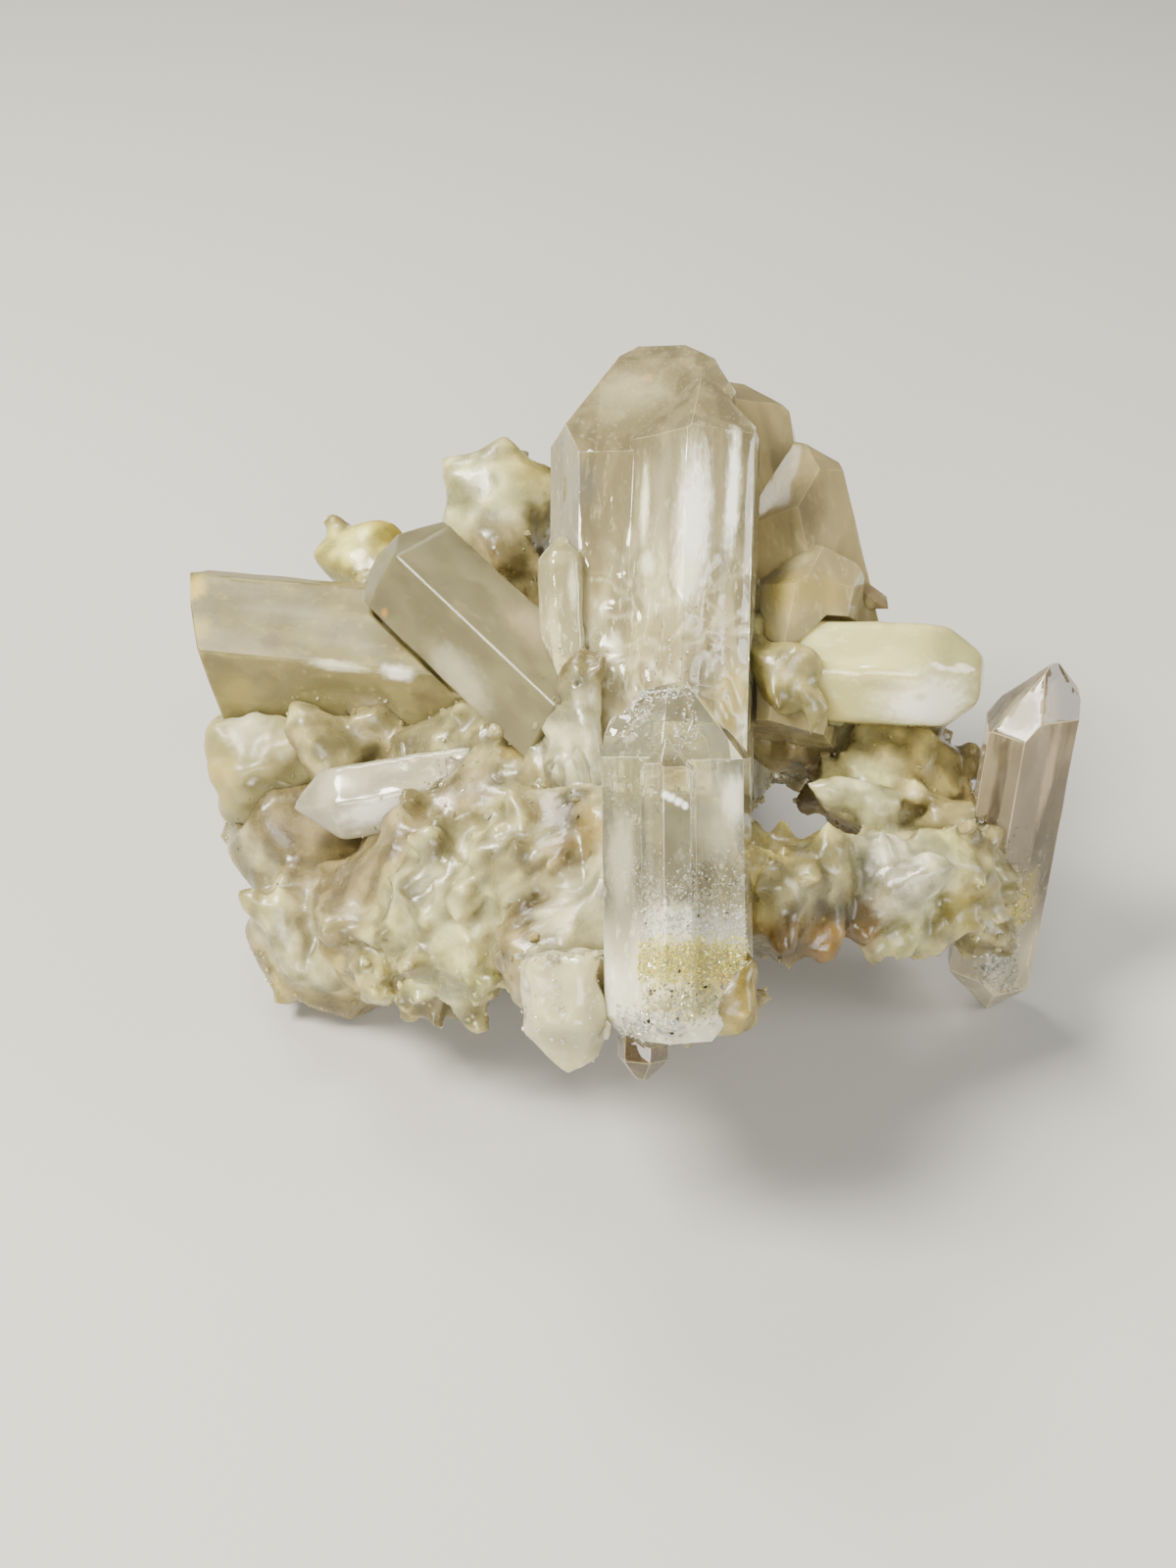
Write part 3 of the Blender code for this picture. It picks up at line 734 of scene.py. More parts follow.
def crystal_mesh(node, relief, seed):
    """A clear crystal with flat faces, growth ledges and bevelled edges."""
    root, tip = axis_of(node)
    along = (tip - root).normalized()
    broken = [(on_photo(node, pixel), radius * MM, depth) for pixel, radius, depth in relief["broken"]]
    bm = plain_copy(node)
    worn = bm.faces.layers.float.new("worn")
    rounded = bmesh.ops.bevel(
        bm, geom=bm.edges[:], offset=relief["edge"] * MM, offset_type="OFFSET", segments=1, profile=0.5,
        affect="EDGES", clamp_overlap=True,
    )
    for face in rounded["faces"]:
        face[worn] = 1.0
    across = along.orthogonal().normalized()
    slice_across(bm, across, relief["fine"] * MM)
    slice_across(bm, along.cross(across), relief["fine"] * MM)
    slice_across(bm, along, relief["fine"] * relief["long"] * MM)
    bm.normal_update()
    moves = []
    for vertex in bm.verts:
        spot = vertex.co / MM
        normal = vertex.normal
        side = along.cross(normal)
        on_side = side.length ** 3
        lift = relief["waves"] * noise.noise(spot * 0.35 + Vector((seed, 0.0, 0.0)))
        if side.length > 0.2:
            side.normalize()
            lift += relief["ribs"] * on_side * ribs(side.dot(spot) + 0.03 * along.dot(spot), seed)
        moves.append(normal * ((lift - bitten(vertex.co, broken)) * MM))
    for vertex, move in zip(bm.verts, moves):
        vertex.co += move
    points, faces = in_order(bm, worn)
    bm.free()
    mesh = bpy.data.meshes.new(node + "_cut")
    mesh.from_pydata(points, [], [ring for ring, _ in faces])
    mesh.shade_smooth()
    mesh.set_sharp_from_angle(angle=SHARP_ANGLE)
    rows = np.ones((len(mesh.loops), 4), np.float32)
    for face, (_, share) in zip(mesh.polygons, faces):
        rows[list(face.loop_indices), :3] = share
    mesh.color_attributes.new("edges", "FLOAT_COLOR", "CORNER").data.foreach_set("color", rows.ravel())
    return mesh


def soft_mesh(node, relief, seed):
    """A milky crystal or lump with soft edges."""
    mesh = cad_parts[node].data.copy()
    move_to(mesh, arrays_of(mesh)[0] / MM)
    mesh.materials.clear()
    mesh = skin_round(mesh, relief["fine"])
    points, edges = arrays_of(mesh)
    move_to(mesh, relaxed(points, edges, relief["soft"]))
    points = arrays_of(mesh)[0]
    points += normals_of(mesh) * noise_at(points, 0.6, (seed, 0.0, 0.0))[:, None] * relief["waves"]
    move_to(mesh, points * MM)
    mesh.shade_smooth()
    return mesh


# The relief of a crystal's faces in millimetres: the depth of its upright ledges (ribs) and of its slow
# waves, how far apart it is sliced across (fine), how many times as far along it (long), and the width of
# its bevelled edges. A crystal whose soft is above 0 is one skin, relaxed this many times, instead. The
# broken places are (pixel of the photograph, radius, depth).
PLAIN_RELIEF = {
    "ribs": 0.04,
    "waves": 0.03,
    "fine": 0.45,
    "long": 3.0,
    "edge": 0.10,
    "soft": 0,
    "broken": (),
}
SHARP_ANGLE = math.radians(24.0)
RELIEF = {
    "main_spire": {"ribs": 0.12},
    "front_crystal": {
        "ribs": 0.03, "waves": 0.02, "fine": 0.26, "long": 1.2,
        "broken": (
            ((660, 712), 2.0, 0.45), ((700, 735), 1.6, 0.35), ((640, 745), 1.2, 0.3), ((622, 735), 1.0, -0.5),
        ),
    },
    "rear_right_crystals": {"waves": 0.05, "edge": 0.20},
    "lateral_crystal": {"soft": 26, "fine": 0.25, "waves": 0.08},
    "front_white_crystal": {"soft": 4, "fine": 0.22, "waves": 0.40},
    "left_block": {"waves": 0.12, "edge": 0.45},
    "leaning_crystal": {"waves": 0.10, "edge": 0.50},
    "centre_crystal": {"soft": 8, "fine": 0.20, "waves": 0.12},
    "far_right_crystal": {"waves": 0.06},
    "left_low_crystal": {"soft": 7, "fine": 0.22, "waves": 0.08},
    "left_chunk": {"soft": 12, "fine": 0.30, "waves": 0.45},
}


def make_crystals():
    made = {}
    for number, node in enumerate(CRYSTALS):
        look = {**PLAIN_LOOK, **LOOKS[node]}
        relief = {**PLAIN_RELIEF, **RELIEF.get(node, {})}
        seed = 17.0 * number
        mesh = (soft_mesh if relief["soft"] else crystal_mesh)(node, relief, seed)
        material = crystal_material(node, look, seed)
        made[node] = new_piece(node + "_cut", mesh, material, node)
    return made


# Small shapes, gathered by the hundred in one mesh.


def paint(mesh, name, tones):
    layer = mesh.color_attributes.new(name, "FLOAT_COLOR", "POINT")
    rows = np.ones((len(tones), 4), np.float32)
    rows[:, :3] = np.clip(np.array(tones), 0.0, 1.0)
    layer.data.foreach_set("color", rows.ravel())


class Grains:
    """Gathers many small closed shapes in one mesh, each with its own tone."""

    def __init__(self):
        self.points = []
        self.faces = []
        self.tones = []
        self.count = 0

    def add(self, shape, place, axes, tone):
        points, faces = shape
        start = self.count
        self.points.append(points @ axes + np.array(place))
        self.faces += [tuple(start + index for index in face) for face in faces]
        self.tones.append(np.tile(tone, (len(points), 1)))
        self.count += len(points)

    def mesh(self, name):
        mesh = bpy.data.meshes.new(name)
        mesh.from_pydata(np.concatenate(self.points).tolist(), [], self.faces)
        paint(mesh, "tone", np.concatenate(self.tones))
        return mesh


def chip_shape(rng, corners):
    """A rough broken grain, about 1 high and wide."""
    bm = bmesh.new()
    for _ in range(corners):
        bm.verts.new(any_way(rng) * rng.uniform(0.42, 0.56))
    made = bmesh.ops.convex_hull(bm, input=bm.verts[:])
    loose = [item for item in made["geom_interior"] if isinstance(item, bmesh.types.BMVert)]
    bmesh.ops.delete(bm, geom=loose, context="VERTS")
    bmesh.ops.recalc_face_normals(bm, faces=bm.faces[:])
    bm.verts.index_update()
    points = np.array([vertex.co[:] for vertex in bm.verts])
    faces = [tuple(vertex.index for vertex in face.verts) for face in bm.faces]
    bm.free()
    return points, faces


def point_shape(rng):
    """A small six-sided crystal along Z, from -0.5 to 0.5, with an uneven cap."""
    points = []
    for level in range(2):
        for number in range(6):
            angle = math.tau * number / 6
            reach = 0.5 * (1.0 + 0.16 * math.sin(2.7 * number + rng.uniform(0.0, 1.5)))
            height = -0.5 if level == 0 else rng.uniform(0.05, 0.28)
            points.append((reach * math.cos(angle), reach * math.sin(angle), height))
    points.append((rng.uniform(-0.12, 0.12), rng.uniform(-0.12, 0.12), 0.5))
    faces = [(5, 4, 3, 2, 1, 0)]
    for number in range(6):
        following = (number + 1) % 6
        faces.append((number, following, following + 6, number + 6))
        faces.append((number + 6, following + 6, 12))
    return np.array(points), faces


# An eight-sided speck, 1 high and wide, as points and faces.
SPECK = (
    np.array([(0.5, 0, 0), (-0.5, 0, 0), (0, 0.5, 0), (0, -0.5, 0), (0, 0, 0.5), (0, 0, -0.5)], float),
    [(0, 2, 4), (2, 1, 4), (1, 3, 4), (3, 0, 4), (2, 0, 5), (1, 2, 5), (3, 1, 5), (0, 3, 5)],
)


def axes_round(along, length, side, rng):
    """Rows that turn a unit shape so that its Z lies along this direction, at this length and width."""
    across = along.orthogonal().normalized()
    across.rotate(Matrix.Rotation(rng.uniform(0.0, math.tau), 3, along))
    other = along.cross(across)
    return np.array([across * side, other * side * rng.uniform(0.75, 1.2), along * length])


def surface_points(mesh, count, rng):
    """Points spread at random over a mesh, each with its normal."""
    mesh.calc_loop_triangles()
    loops = mesh.loop_triangles
    corners = [[mesh.vertices[index].co.copy() for index in loop.vertices] for loop in loops]
    areas = [loop.area for loop in loops]
    found = []
    for index in rng.choices(range(len(areas)), areas, k=count):
        a, b = sorted((rng.random(), rng.random()))
        first, second, third = corners[index]
        found.append((first * a + second * (b - a) + third * (1.0 - b), loops[index].normal.copy()))
    return found


def spots_of(feet):
    """The places of surface points, in millimetres."""
    return np.array([foot for foot, _ in feet]) / MM


class Spacing:
    """Keeps points at least a given distance apart."""

    def __init__(self, cell):
        self.cell = cell
        self.cells = {}

    def free(self, spot, gap):
        home = tuple(int(math.floor(value / self.cell)) for value in spot)
        for dx in (-1, 0, 1):
            for dy in (-1, 0, 1):
                for dz in (-1, 0, 1):
                    for other in self.cells.get((home[0] + dx, home[1] + dy, home[2] + dz), ()):
                        if (other - spot).length_squared < gap * gap:
                            return False
        self.cells.setdefault(home, []).append(spot)
        return True


# The crust: one skin round its solid and its fused crystals, and the loose crystals on it.

# Patches of the crust: pixel of the photograph, radius in millimetres, amount, colour, how rough its skin
# is from 0 to 1, and the size of the loose crystals on it in millimetres, or 0 where there are none.
CRUST_PATCHES = (
    ((560, 850), 4.0, 0.9, (0.21, 0.165, 0.070), 0.5, 0.5),
    ((320, 895), 9.0, 0.95, (0.26, 0.20, 0.085), 0.04, 0.0),
    ((395, 890), 4.2, 0.85, (0.30, 0.235, 0.11), 0.08, 0.0),
    ((258, 880), 2.0, 0.8, (0.26, 0.22, 0.091), 0.4, 0.0),
    ((270, 925), 2.2, 0.8, (0.31, 0.28, 0.12), 0.3, 0.0),
    ((296, 1003), 3.6, 0.95, (0.38, 0.31, 0.09), 0.4, 0.5),
    ((335, 1036), 3.8, 0.95, (0.44, 0.34, 0.08), 0.5, 0.6),
    ((400, 1000), 2.8, 0.85, (0.69, 0.62, 0.25), 0.7, 0.9),
    ((450, 1010), 2.8, 0.85, (0.62, 0.60, 0.3), 0.8, 1.0),
    ((500, 995), 2.8, 0.85, (0.53, 0.50, 0.2), 0.8, 0.9),
    ((455, 855), 1.3, 0.7, (0.15, 0.14, 0.049), 0.3, 0.0),
    ((525, 770), 1.2, 0.8, (0.24, 0.16, 0.028), 0.3, 0.0),
    ((600, 850), 1.8, 0.7, (0.28, 0.20, 0.056), 0.3, 0.3),
    ((560, 800), 2.5, 0.7, (0.24, 0.20, 0.077), 0.6, 0.6),
    ((600, 785), 0.9, 0.8, (0.35, 0.32, 0.15), 0.5, 0.5),
    ((415, 945), 1.4, 0.9, (0.32, 0.28, 0.11), 0.2, 0.0),
    ((455, 915), 1.4, 0.9, (0.33, 0.29, 0.11), 0.2, 0.0),
    ((500, 880), 1.4, 0.9, (0.33, 0.30, 0.12), 0.2, 0.0),
    ((540, 855), 1.2, 0.9, (0.31, 0.27, 0.1), 0.2, 0.0),
    ((548, 902), 3.8, 0.85, (0.16, 0.115, 0.045), 0.6, 0.3),
    ((830, 890), 4.0, 0.9, (0.55, 0.44, 0.085), 0.5, 0.8),
    ((800, 860), 2.0, 0.7, (0.56, 0.46, 0.14), 0.6, 0.0),
    # The next four patches lie under the arm: its brown underside, painted far darker as the shade beneath
    # it.
    ((890, 935), 2.4, 0.90, (0.20, 0.12, 0.04), 0.45, 0.4),
    ((858, 938), 3.4, 0.98, (0.075, 0.060, 0.023), 0.35, 0.4),
    ((835, 962), 3.2, 0.98, (0.075, 0.058, 0.021), 0.30, 0.0),
    ((795, 945), 3.6, 0.98, (0.12, 0.084, 0.030), 0.35, 0.4),
    ((765, 925), 2.2, 0.85, (0.30, 0.22, 0.08), 0.40, 0.4),
    ((755, 1010), 2.6, 0.98, (0.45, 0.26, 0.046), 0.1, 0.0),
    ((940, 780), 4.2, 0.92, (0.44, 0.35, 0.12), 0.25, 0.4),
    ((870, 805), 2.2, 0.9, (0.60, 0.55, 0.17), 0.2, 0.0),
    ((895, 850), 1.5, 0.8, (0.30, 0.28, 0.13), 0.7, 0.6),
    ((955, 880), 2.8, 0.9, (0.60, 0.56, 0.19), 0.4, 0.5),
    ((980, 925), 2.2, 0.8, (0.42, 0.34, 0.078), 0.4, 0.5),
    ((405, 535), 3.6, 0.95, (0.58, 0.48, 0.08), 0.04, 0.0),
    ((335, 565), 3.6, 0.95, (0.70, 0.65, 0.20), 0.04, 0.0),
    ((480, 490), 5.5, 0.95, (0.64, 0.62, 0.32), 0.05, 0.0),
    ((545, 470), 2.6, 0.8, (0.48, 0.40, 0.12), 0.2, 0.0),
    ((500, 560), 3.0, 0.8, (0.42, 0.34, 0.17), 0.2, 0.0),
    ((700, 1045), 3.0, 0.9, (0.36, 0.30, 0.091), 0.8, 0.5),
    ((640, 1050), 1.6, 0.9, (0.49, 0.44, 0.21), 0.6, 0.4),
    ((590, 720), 3.0, 0.8, (0.27, 0.24, 0.098), 0.4, 0.0),
    ((335, 780), 3.0, 0.9, (0.43, 0.38, 0.17), 0.12, 0.0),
    ((318, 715), 1.8, 0.9, (0.60, 0.55, 0.27), 0.10, 0.0),
    ((440, 725), 2.2, 0.9, (0.22, 0.17, 0.08), 0.15, 0.0),
    ((470, 800), 2.6, 0.8, (0.32, 0.26, 0.13), 0.30, 0.2),
    ((735, 790), 3.0, 0.7, (0.22, 0.16, 0.05), 0.30, 0.2),
    ((790, 745), 3.0, 0.8, (0.26, 0.21, 0.08), 0.25, 0.0),
)
# Away from all patches: two colours that take turns, the roughness, and the size of the loose crystals.
PLAIN_TONES = ((0.27, 0.205, 0.085), (0.38, 0.34, 0.16))
PLAIN_ROUGH = 0.6
PLAIN_GRAIN = 0.7


class Patches:
    """The crust's colour, how rough its skin is, and the size of its loose crystals from place to place."""

    def __init__(self):
        self.rows = [
            (np.array(on_photo("matrix", pixel)) / MM, radius, amount, np.array((*color, rough, grain)))
            for pixel, radius, amount, color, rough, grain in CRUST_PATCHES
        ]

    def at(self, points):
        """One row for each point, in millimetres: red, green, blue, roughness and size."""
        broad = np.array([noise.fractal(Vector(point) * 0.11, 1.0, 2.0, 2) for point in points])
        wobble = noise_at(points, 0.55)
        broad = np.clip(0.5 + broad, 0.0, 1.0)[:, None]
        first, second = (np.array((*tone, PLAIN_ROUGH, PLAIN_GRAIN)) for tone in PLAIN_TONES)
        found = first * (1.0 - broad) + second * broad
        for centre, radius, amount, row in self.rows:
            away = np.linalg.norm(points - centre, axis=1) / radius + 0.35 * wobble
            share = amount * np.clip(1.7 - 1.25 * away, 0.0, 1.0)[:, None]
            found += share * (row - found)
        return found


# Streaks in the crust run from the first of these pixels of the photograph to the second, and reach this
# many millimetres round the third.
STREAKS = ((480, 960), (605, 870), (540, 915))
STREAK_REACH = 6.5
# The skin: size of its faces in millimetres, times it is relaxed, its most triangles, and how high it stands.
SKIN_SIZE = 0.26
SKIN_ROUNDS = 90
SKIN_TRIANGLES = 194000
SKIN_HEIGHT = 0.26
# Where the skin meets a crystal, in millimetres: how far it lies under the crystal's surface, how far away
# it is fully drawn to it, and over what distance beyond that the pull fades.
SEAT_DEPTH = 0.12
SEAT_REACH = 0.45
SEAT_BLEND = 0.5
# How many places are tried for the blunt crystals in the skin and for the loose crystals on it.
BLUNT_PLACES = 9000
LOOSE_PLACES = 16000
# How rough the skin is on the single crystals that follow, from 0 to 1.
SINGLE_ROUGH = 0.5

# Single crystals that are fused in the crust: pixels of the photograph for the root and the tip, how far
# the tip stands out and how wide it is in millimetres, colour.
SINGLE_CRYSTALS = (
    ((402, 954), (478, 900), 0.8, 2.3, (0.50, 0.46, 0.20)),
    ((440, 930), (516, 878), 0.8, 2.2, (0.56, 0.52, 0.26)),
    ((486, 902), (556, 858), 0.8, 2.0, (0.54, 0.49, 0.24)),
    ((420, 905), (470, 868), 0.3, 1.8, (0.42, 0.38, 0.20)),
    ((268, 900), (258, 850), 0.6, 1.6, (0.36, 0.32, 0.17)),
    ((292, 952), (284, 898), 0.6, 3.0, (0.50, 0.45, 0.26)),
    ((248, 940), (238, 902), 0.5, 2.2, (0.46, 0.42, 0.18)),
    ((300, 985), (283, 950), 0.5, 2.0, (0.50, 0.46, 0.26)),
    ((340, 1000), (322, 962), 0.5, 1.8, (0.52, 0.48, 0.26)),
    ((608, 792), (597, 712), 0.4, 1.8, (0.62, 0.58, 0.38)),
    ((616, 905), (604, 985), 0.5, 1.6, (0.60, 0.56, 0.34)),
    ((898, 820), (816, 799), 0.6, 2.6, (0.62, 0.60, 0.34)),
    ((885, 880), (872, 845), 0.6, 1.5, (0.40, 0.38, 0.26)),
    ((905, 880), (900, 842), 0.6, 1.4, (0.42, 0.40, 0.28)),
    ((925, 905), (980, 878), 0.7, 3.0, (0.62, 0.60, 0.42)),
    ((850, 885), (843, 832), 0.6, 2.8, (0.46, 0.41, 0.18)),
    ((800, 915), (775, 880), 0.6, 2.4, (0.50, 0.45, 0.22)),
    ((925, 950), (911, 984), 0.5, 2.2, (0.50, 0.47, 0.20)),
    ((848, 960), (835, 990), 0.3, 2.0, (0.26, 0.15, 0.03)),
    ((802, 955), (798, 982), 0.3, 1.8, (0.26, 0.16, 0.05)),
    ((880, 950), (885, 972), 0.3, 1.6, (0.20, 0.12, 0.03)),
)


def single_crystal(node, row, rng, points):
    """Runs from root to tip as the photograph shows them, and a bit towards the camera."""
    first, second, out, width, tone = row
    root = on_photo(node, first)
    tip = EYE + photo_ray(second) * (root - EYE).dot(AHEAD)
    tip += (EYE - tip).normalized() * out * MM
    along = (tip - root).normalized()
    length = (tip - root).length + 0.5 * width * MM
    return rng.choice(points), tip - along * 0.5 * length, axes_round(along, length, width * MM, rng), tone


def blunt_crystals(bank, rng, patches, chips, points):
    """Blunt crystals half sunk in the crust's solid, which its skin then runs round."""
    feet = surface_points(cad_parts["matrix"].data, BLUNT_PLACES, rng)
    spacing = Spacing(2.2)
    for (foot, normal), row in zip(feet, patches.at(spots_of(feet))):
        size = rng.uniform(1.3, 3.6)
        if rng.random() > row[3] ** 3 or foot.z < 1.2 * MM:
            continue
        if ALL_CRYSTALS.find_nearest(foot)[3] < 0.35 * size * MM or not spacing.free(foot / MM, 0.55 * size):
            continue
        lean = noise.noise_vector(foot / MM * 0.25) * 1.3
        along = (normal + lean + jitter(rng, 0.3)).normalized()
        if rng.random() < 0.35:
            axes = axes_round(along, 1.25 * size, 0.6 * size, rng)
            shape = rng.choice(points)
        else:
            axes = axes_round(along, size, size, rng)
            shape = rng.choice(chips)
        place = np.array(foot) / MM - np.array(normal) * 0.10 * size
        reach = np.abs(shape[0] @ axes).max(axis=0)
        if np.all(place - reach > LOW_MM) and np.all(place + reach < HIGH_MM):
            bank.add(shape, place, axes, (0.0, 0.0, 0.0))


def seated(points):
    """The points, with those at a crystal moved just under its surface, so that its root shows no gap."""
    for index, point in enumerate(points):
        spot = Vector(point) * MM
        place, normal, _, away = ALL_CRYSTALS.find_nearest(spot, 3.0 * MM)
        if place is None:
            continue
        inside = (spot - place).dot(normal) < 0.0
        gap = away / MM
        share = 1.0 if inside else min(1.0, max(0.0, 1.0 - (gap - SEAT_REACH) / SEAT_BLEND))
        if share > 0.0 and not (inside and gap < SEAT_DEPTH):
            aim = np.array(place - normal * SEAT_DEPTH * MM) / MM
            points[index] += share * (aim - points[index])
    return points


def skin_relief(places):
    """How high the skin stands at each point, from about -1 to 1: lumps, grain and streaks."""
    first, second, centre = (np.array(on_photo("matrix", pixel)) / MM for pixel in STREAKS)
    way = (second - first) / np.linalg.norm(second - first)
    squeezed = places - 0.88 * (places @ way)[:, None] * way
    streaky = np.clip(1.6 - 1.6 * np.linalg.norm(places - centre, axis=1) / STREAK_REACH, 0.0, 1.0)
    lumps = np.array([0.42 - noise.voronoi(Vector(place) * 0.9)[0][0] for place in places])
    grain = 0.5 * lumps + 0.5 * noise_at(places, 2.4)
    return (1.0 - streaky) * grain + streaky * 1.5 * noise_at(squeezed, 1.5)


def crust_skin(rng, patches, chips, points, singles):
    """The crust as one painted skin."""
    bank = Grains()
    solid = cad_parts["matrix"].data
    faces = [tuple(face.vertices) for face in solid.polygons]
    bank.add((arrays_of(solid)[0] / MM, faces), (0.0, 0.0, 0.0), np.eye(3), (0.0, 0.0, 0.0))
    blunt_crystals(bank, rng, patches, chips, points)
    for shape, middle, axes, _ in singles:
        bank.add(shape, middle / MM, axes / MM, (0.0, 0.0, 0.0))
    mesh = skin_round(bank.mesh("crust_body"), SKIN_SIZE)
    places, edges = arrays_of(mesh)
    rows = patches.at(places)
    move_to(mesh, relaxed(places, edges, SKIN_ROUNDS, 0.6 * np.clip(1.02 - rows[:, 3:4], 0.3, 0.9) ** 3))
    places = arrays_of(mesh)[0]
    high = skin_relief(places)
    over_floor = np.clip(places[:, 2] - 0.4, 0.0, 1.0)
    lift = high * rows[:, 3] * SKIN_HEIGHT * over_floor
    places += normals_of(mesh) * lift[:, None]
    places = seated(places)
    move_to(mesh, places)
    # The tone is darker where the skin lies low and lighter where it stands high.
    mottle = noise_at(places, 0.75, (7.0, 3.0, 1.0))
    mottle = np.clip(1.0 + 0.65 * mottle + 0.38 * high, 0.60, 1.45)[:, None]
    paint(mesh, "tone", rows[:, :3] * mottle ** np.array((1.0, 1.03, 1.15)))
    mesh = thinned(mesh, SKIN_TRIANGLES)
    move_to(mesh, held(arrays_of(mesh)[0]) * MM)
    mesh.shade_smooth()
    return mesh


def crust_material(name):
    made = Nodes(name)
    grain = made.noise(0.8, 4.0, 0.6, None, 23.0)
    broad = made.noise(2.4, 1.0, 0.5, None, 31.0)
    color = made.painted("tone")
    color = made.mix(made.ramp(grain, 0.28, 0.46, 0.18, 0.0), color, shade((0.16, 0.11, 0.04)))
    color = made.mix(made.ramp(grain, 0.56, 0.76, 0.0, 0.25), color, shade((0.62, 0.58, 0.34)))
    specks = made.cells(3.4, 4.0)
    color = made.mix(made.ramp(specks, 0.025, 0.045, 1.0, 0.0), color, shade(BLACK))
    made.set("Base Color", color)
    made.set("Roughness", made.ramp(grain, 0.3, 0.7, 0.44, 0.22))
    made.set("IOR", QUARTZ_IOR)
    made.set("Transmission Weight", made.ramp(broad, 0.40, 0.62, 0.10, 0.55))
    made.set("Normal", made.bump(grain, 0.36, 0.16))
    made.set("Coat Weight", 0.20)
    made.set("Coat Roughness", 0.08)
    made.glow(0.7, (1.6, 1.4, 0.9))
    made.absorb((0.78, 0.66, 0.40), 110.0)
    return made.material


def grain_material():
    made = Nodes("look_grains")
    chance = made.own_chance()
    color = made.mix(made.ramp(chance, 0.60, 1.0, 0.0, 0.35), made.painted("tone"), shade(WARM_WHITE))
    dark = made.math("LESS_THAN", made.math("FRACT", made.times(chance, 37.0)), 0.010)
    color = made.mix(dark, color, shade(BLACK))
    made.set("Base Color", color)
    made.set("Roughness", made.ramp(chance, 0.0, 1.0, 0.08, 0.25))
    made.set("IOR", QUARTZ_IOR)
    made.set("Transmission Weight", made.ramp(chance, 0.20, 0.95, 0.05, 0.45))
    made.set("Coat Weight", 0.4)
    made.set("Coat Roughness", 0.06)
    made.glow(0.6, (1.2, 1.0, 0.7))
    return made.material


def make_crust(rng, patches, chips, points, look):
    singles = [single_crystal("matrix", row, rng, points) for row in SINGLE_CRYSTALS]
    for _, middle, axes, tone in singles:
        reach = 0.6 * np.linalg.norm(axes[2]) / MM
        row = np.array((*tone, SINGLE_ROUGH, 0.0))
        patches.rows.append((np.array(middle) / MM, reach, 0.85, row))
    mesh = crust_skin(rng, patches, chips, points, singles)
    body = new_piece("crust_body", mesh, crust_material("look_crust"), "matrix")
    grains = {"left": Grains(), "right": Grains()}
    spacing = Spacing(1.6 * MM)
    feet = surface_points(body.data, LOOSE_PLACES, rng)
    for (foot, normal), row in zip(feet, patches.at(spots_of(feet))):
        size = row[4] * rng.uniform(0.55, 1.35)
        if size < 0.28 or foot.z < 0.7 * MM or ALL_CRYSTALS.find_nearest(foot)[3] < 0.3 * MM:
            continue
        crowd = 0.25 + 1.1 * noise.noise(foot / MM * 0.35)
        if rng.random() > crowd or not spacing.free(foot, 0.8 * size * MM):
            continue
        lean = noise.noise_vector(foot / MM * 0.25) * 1.1
        along = (normal + lean + jitter(rng, 0.25)).normalized()
        if along.dot(normal) < 0.25:
            along = (along + normal).normalized()
        tone = row[:3] * rng.uniform(0.95, 1.2)
        if rng.random() < 0.12:
            length = size * rng.uniform(1.0, 1.5)
            side = length * rng.uniform(0.45, 0.6)
            middle = foot + along * (0.5 * length - 0.85 * side) * MM
            shape = rng.choice(points)
        else:
            length = size * rng.uniform(0.8, 1.2)
            side = size * rng.uniform(0.8, 1.2)
            middle = foot - normal * size * rng.uniform(0.12, 0.32) * MM
            shape = rng.choice(chips)
        tip = middle + along * 0.5 * length * MM
        if tip.z > 0.3 * MM and all(LOW[axis] < tip[axis] < HIGH[axis] for axis in range(3)):
            bank = grains["left" if foot.x < 0.0 else "right"]
            bank.add(shape, middle, axes_round(along, length * MM, side * MM, rng), tone)
    for name, bank in grains.items():
        new_piece("crust_grains_" + name, bank.mesh("crust_grains_" + name), look, "matrix")


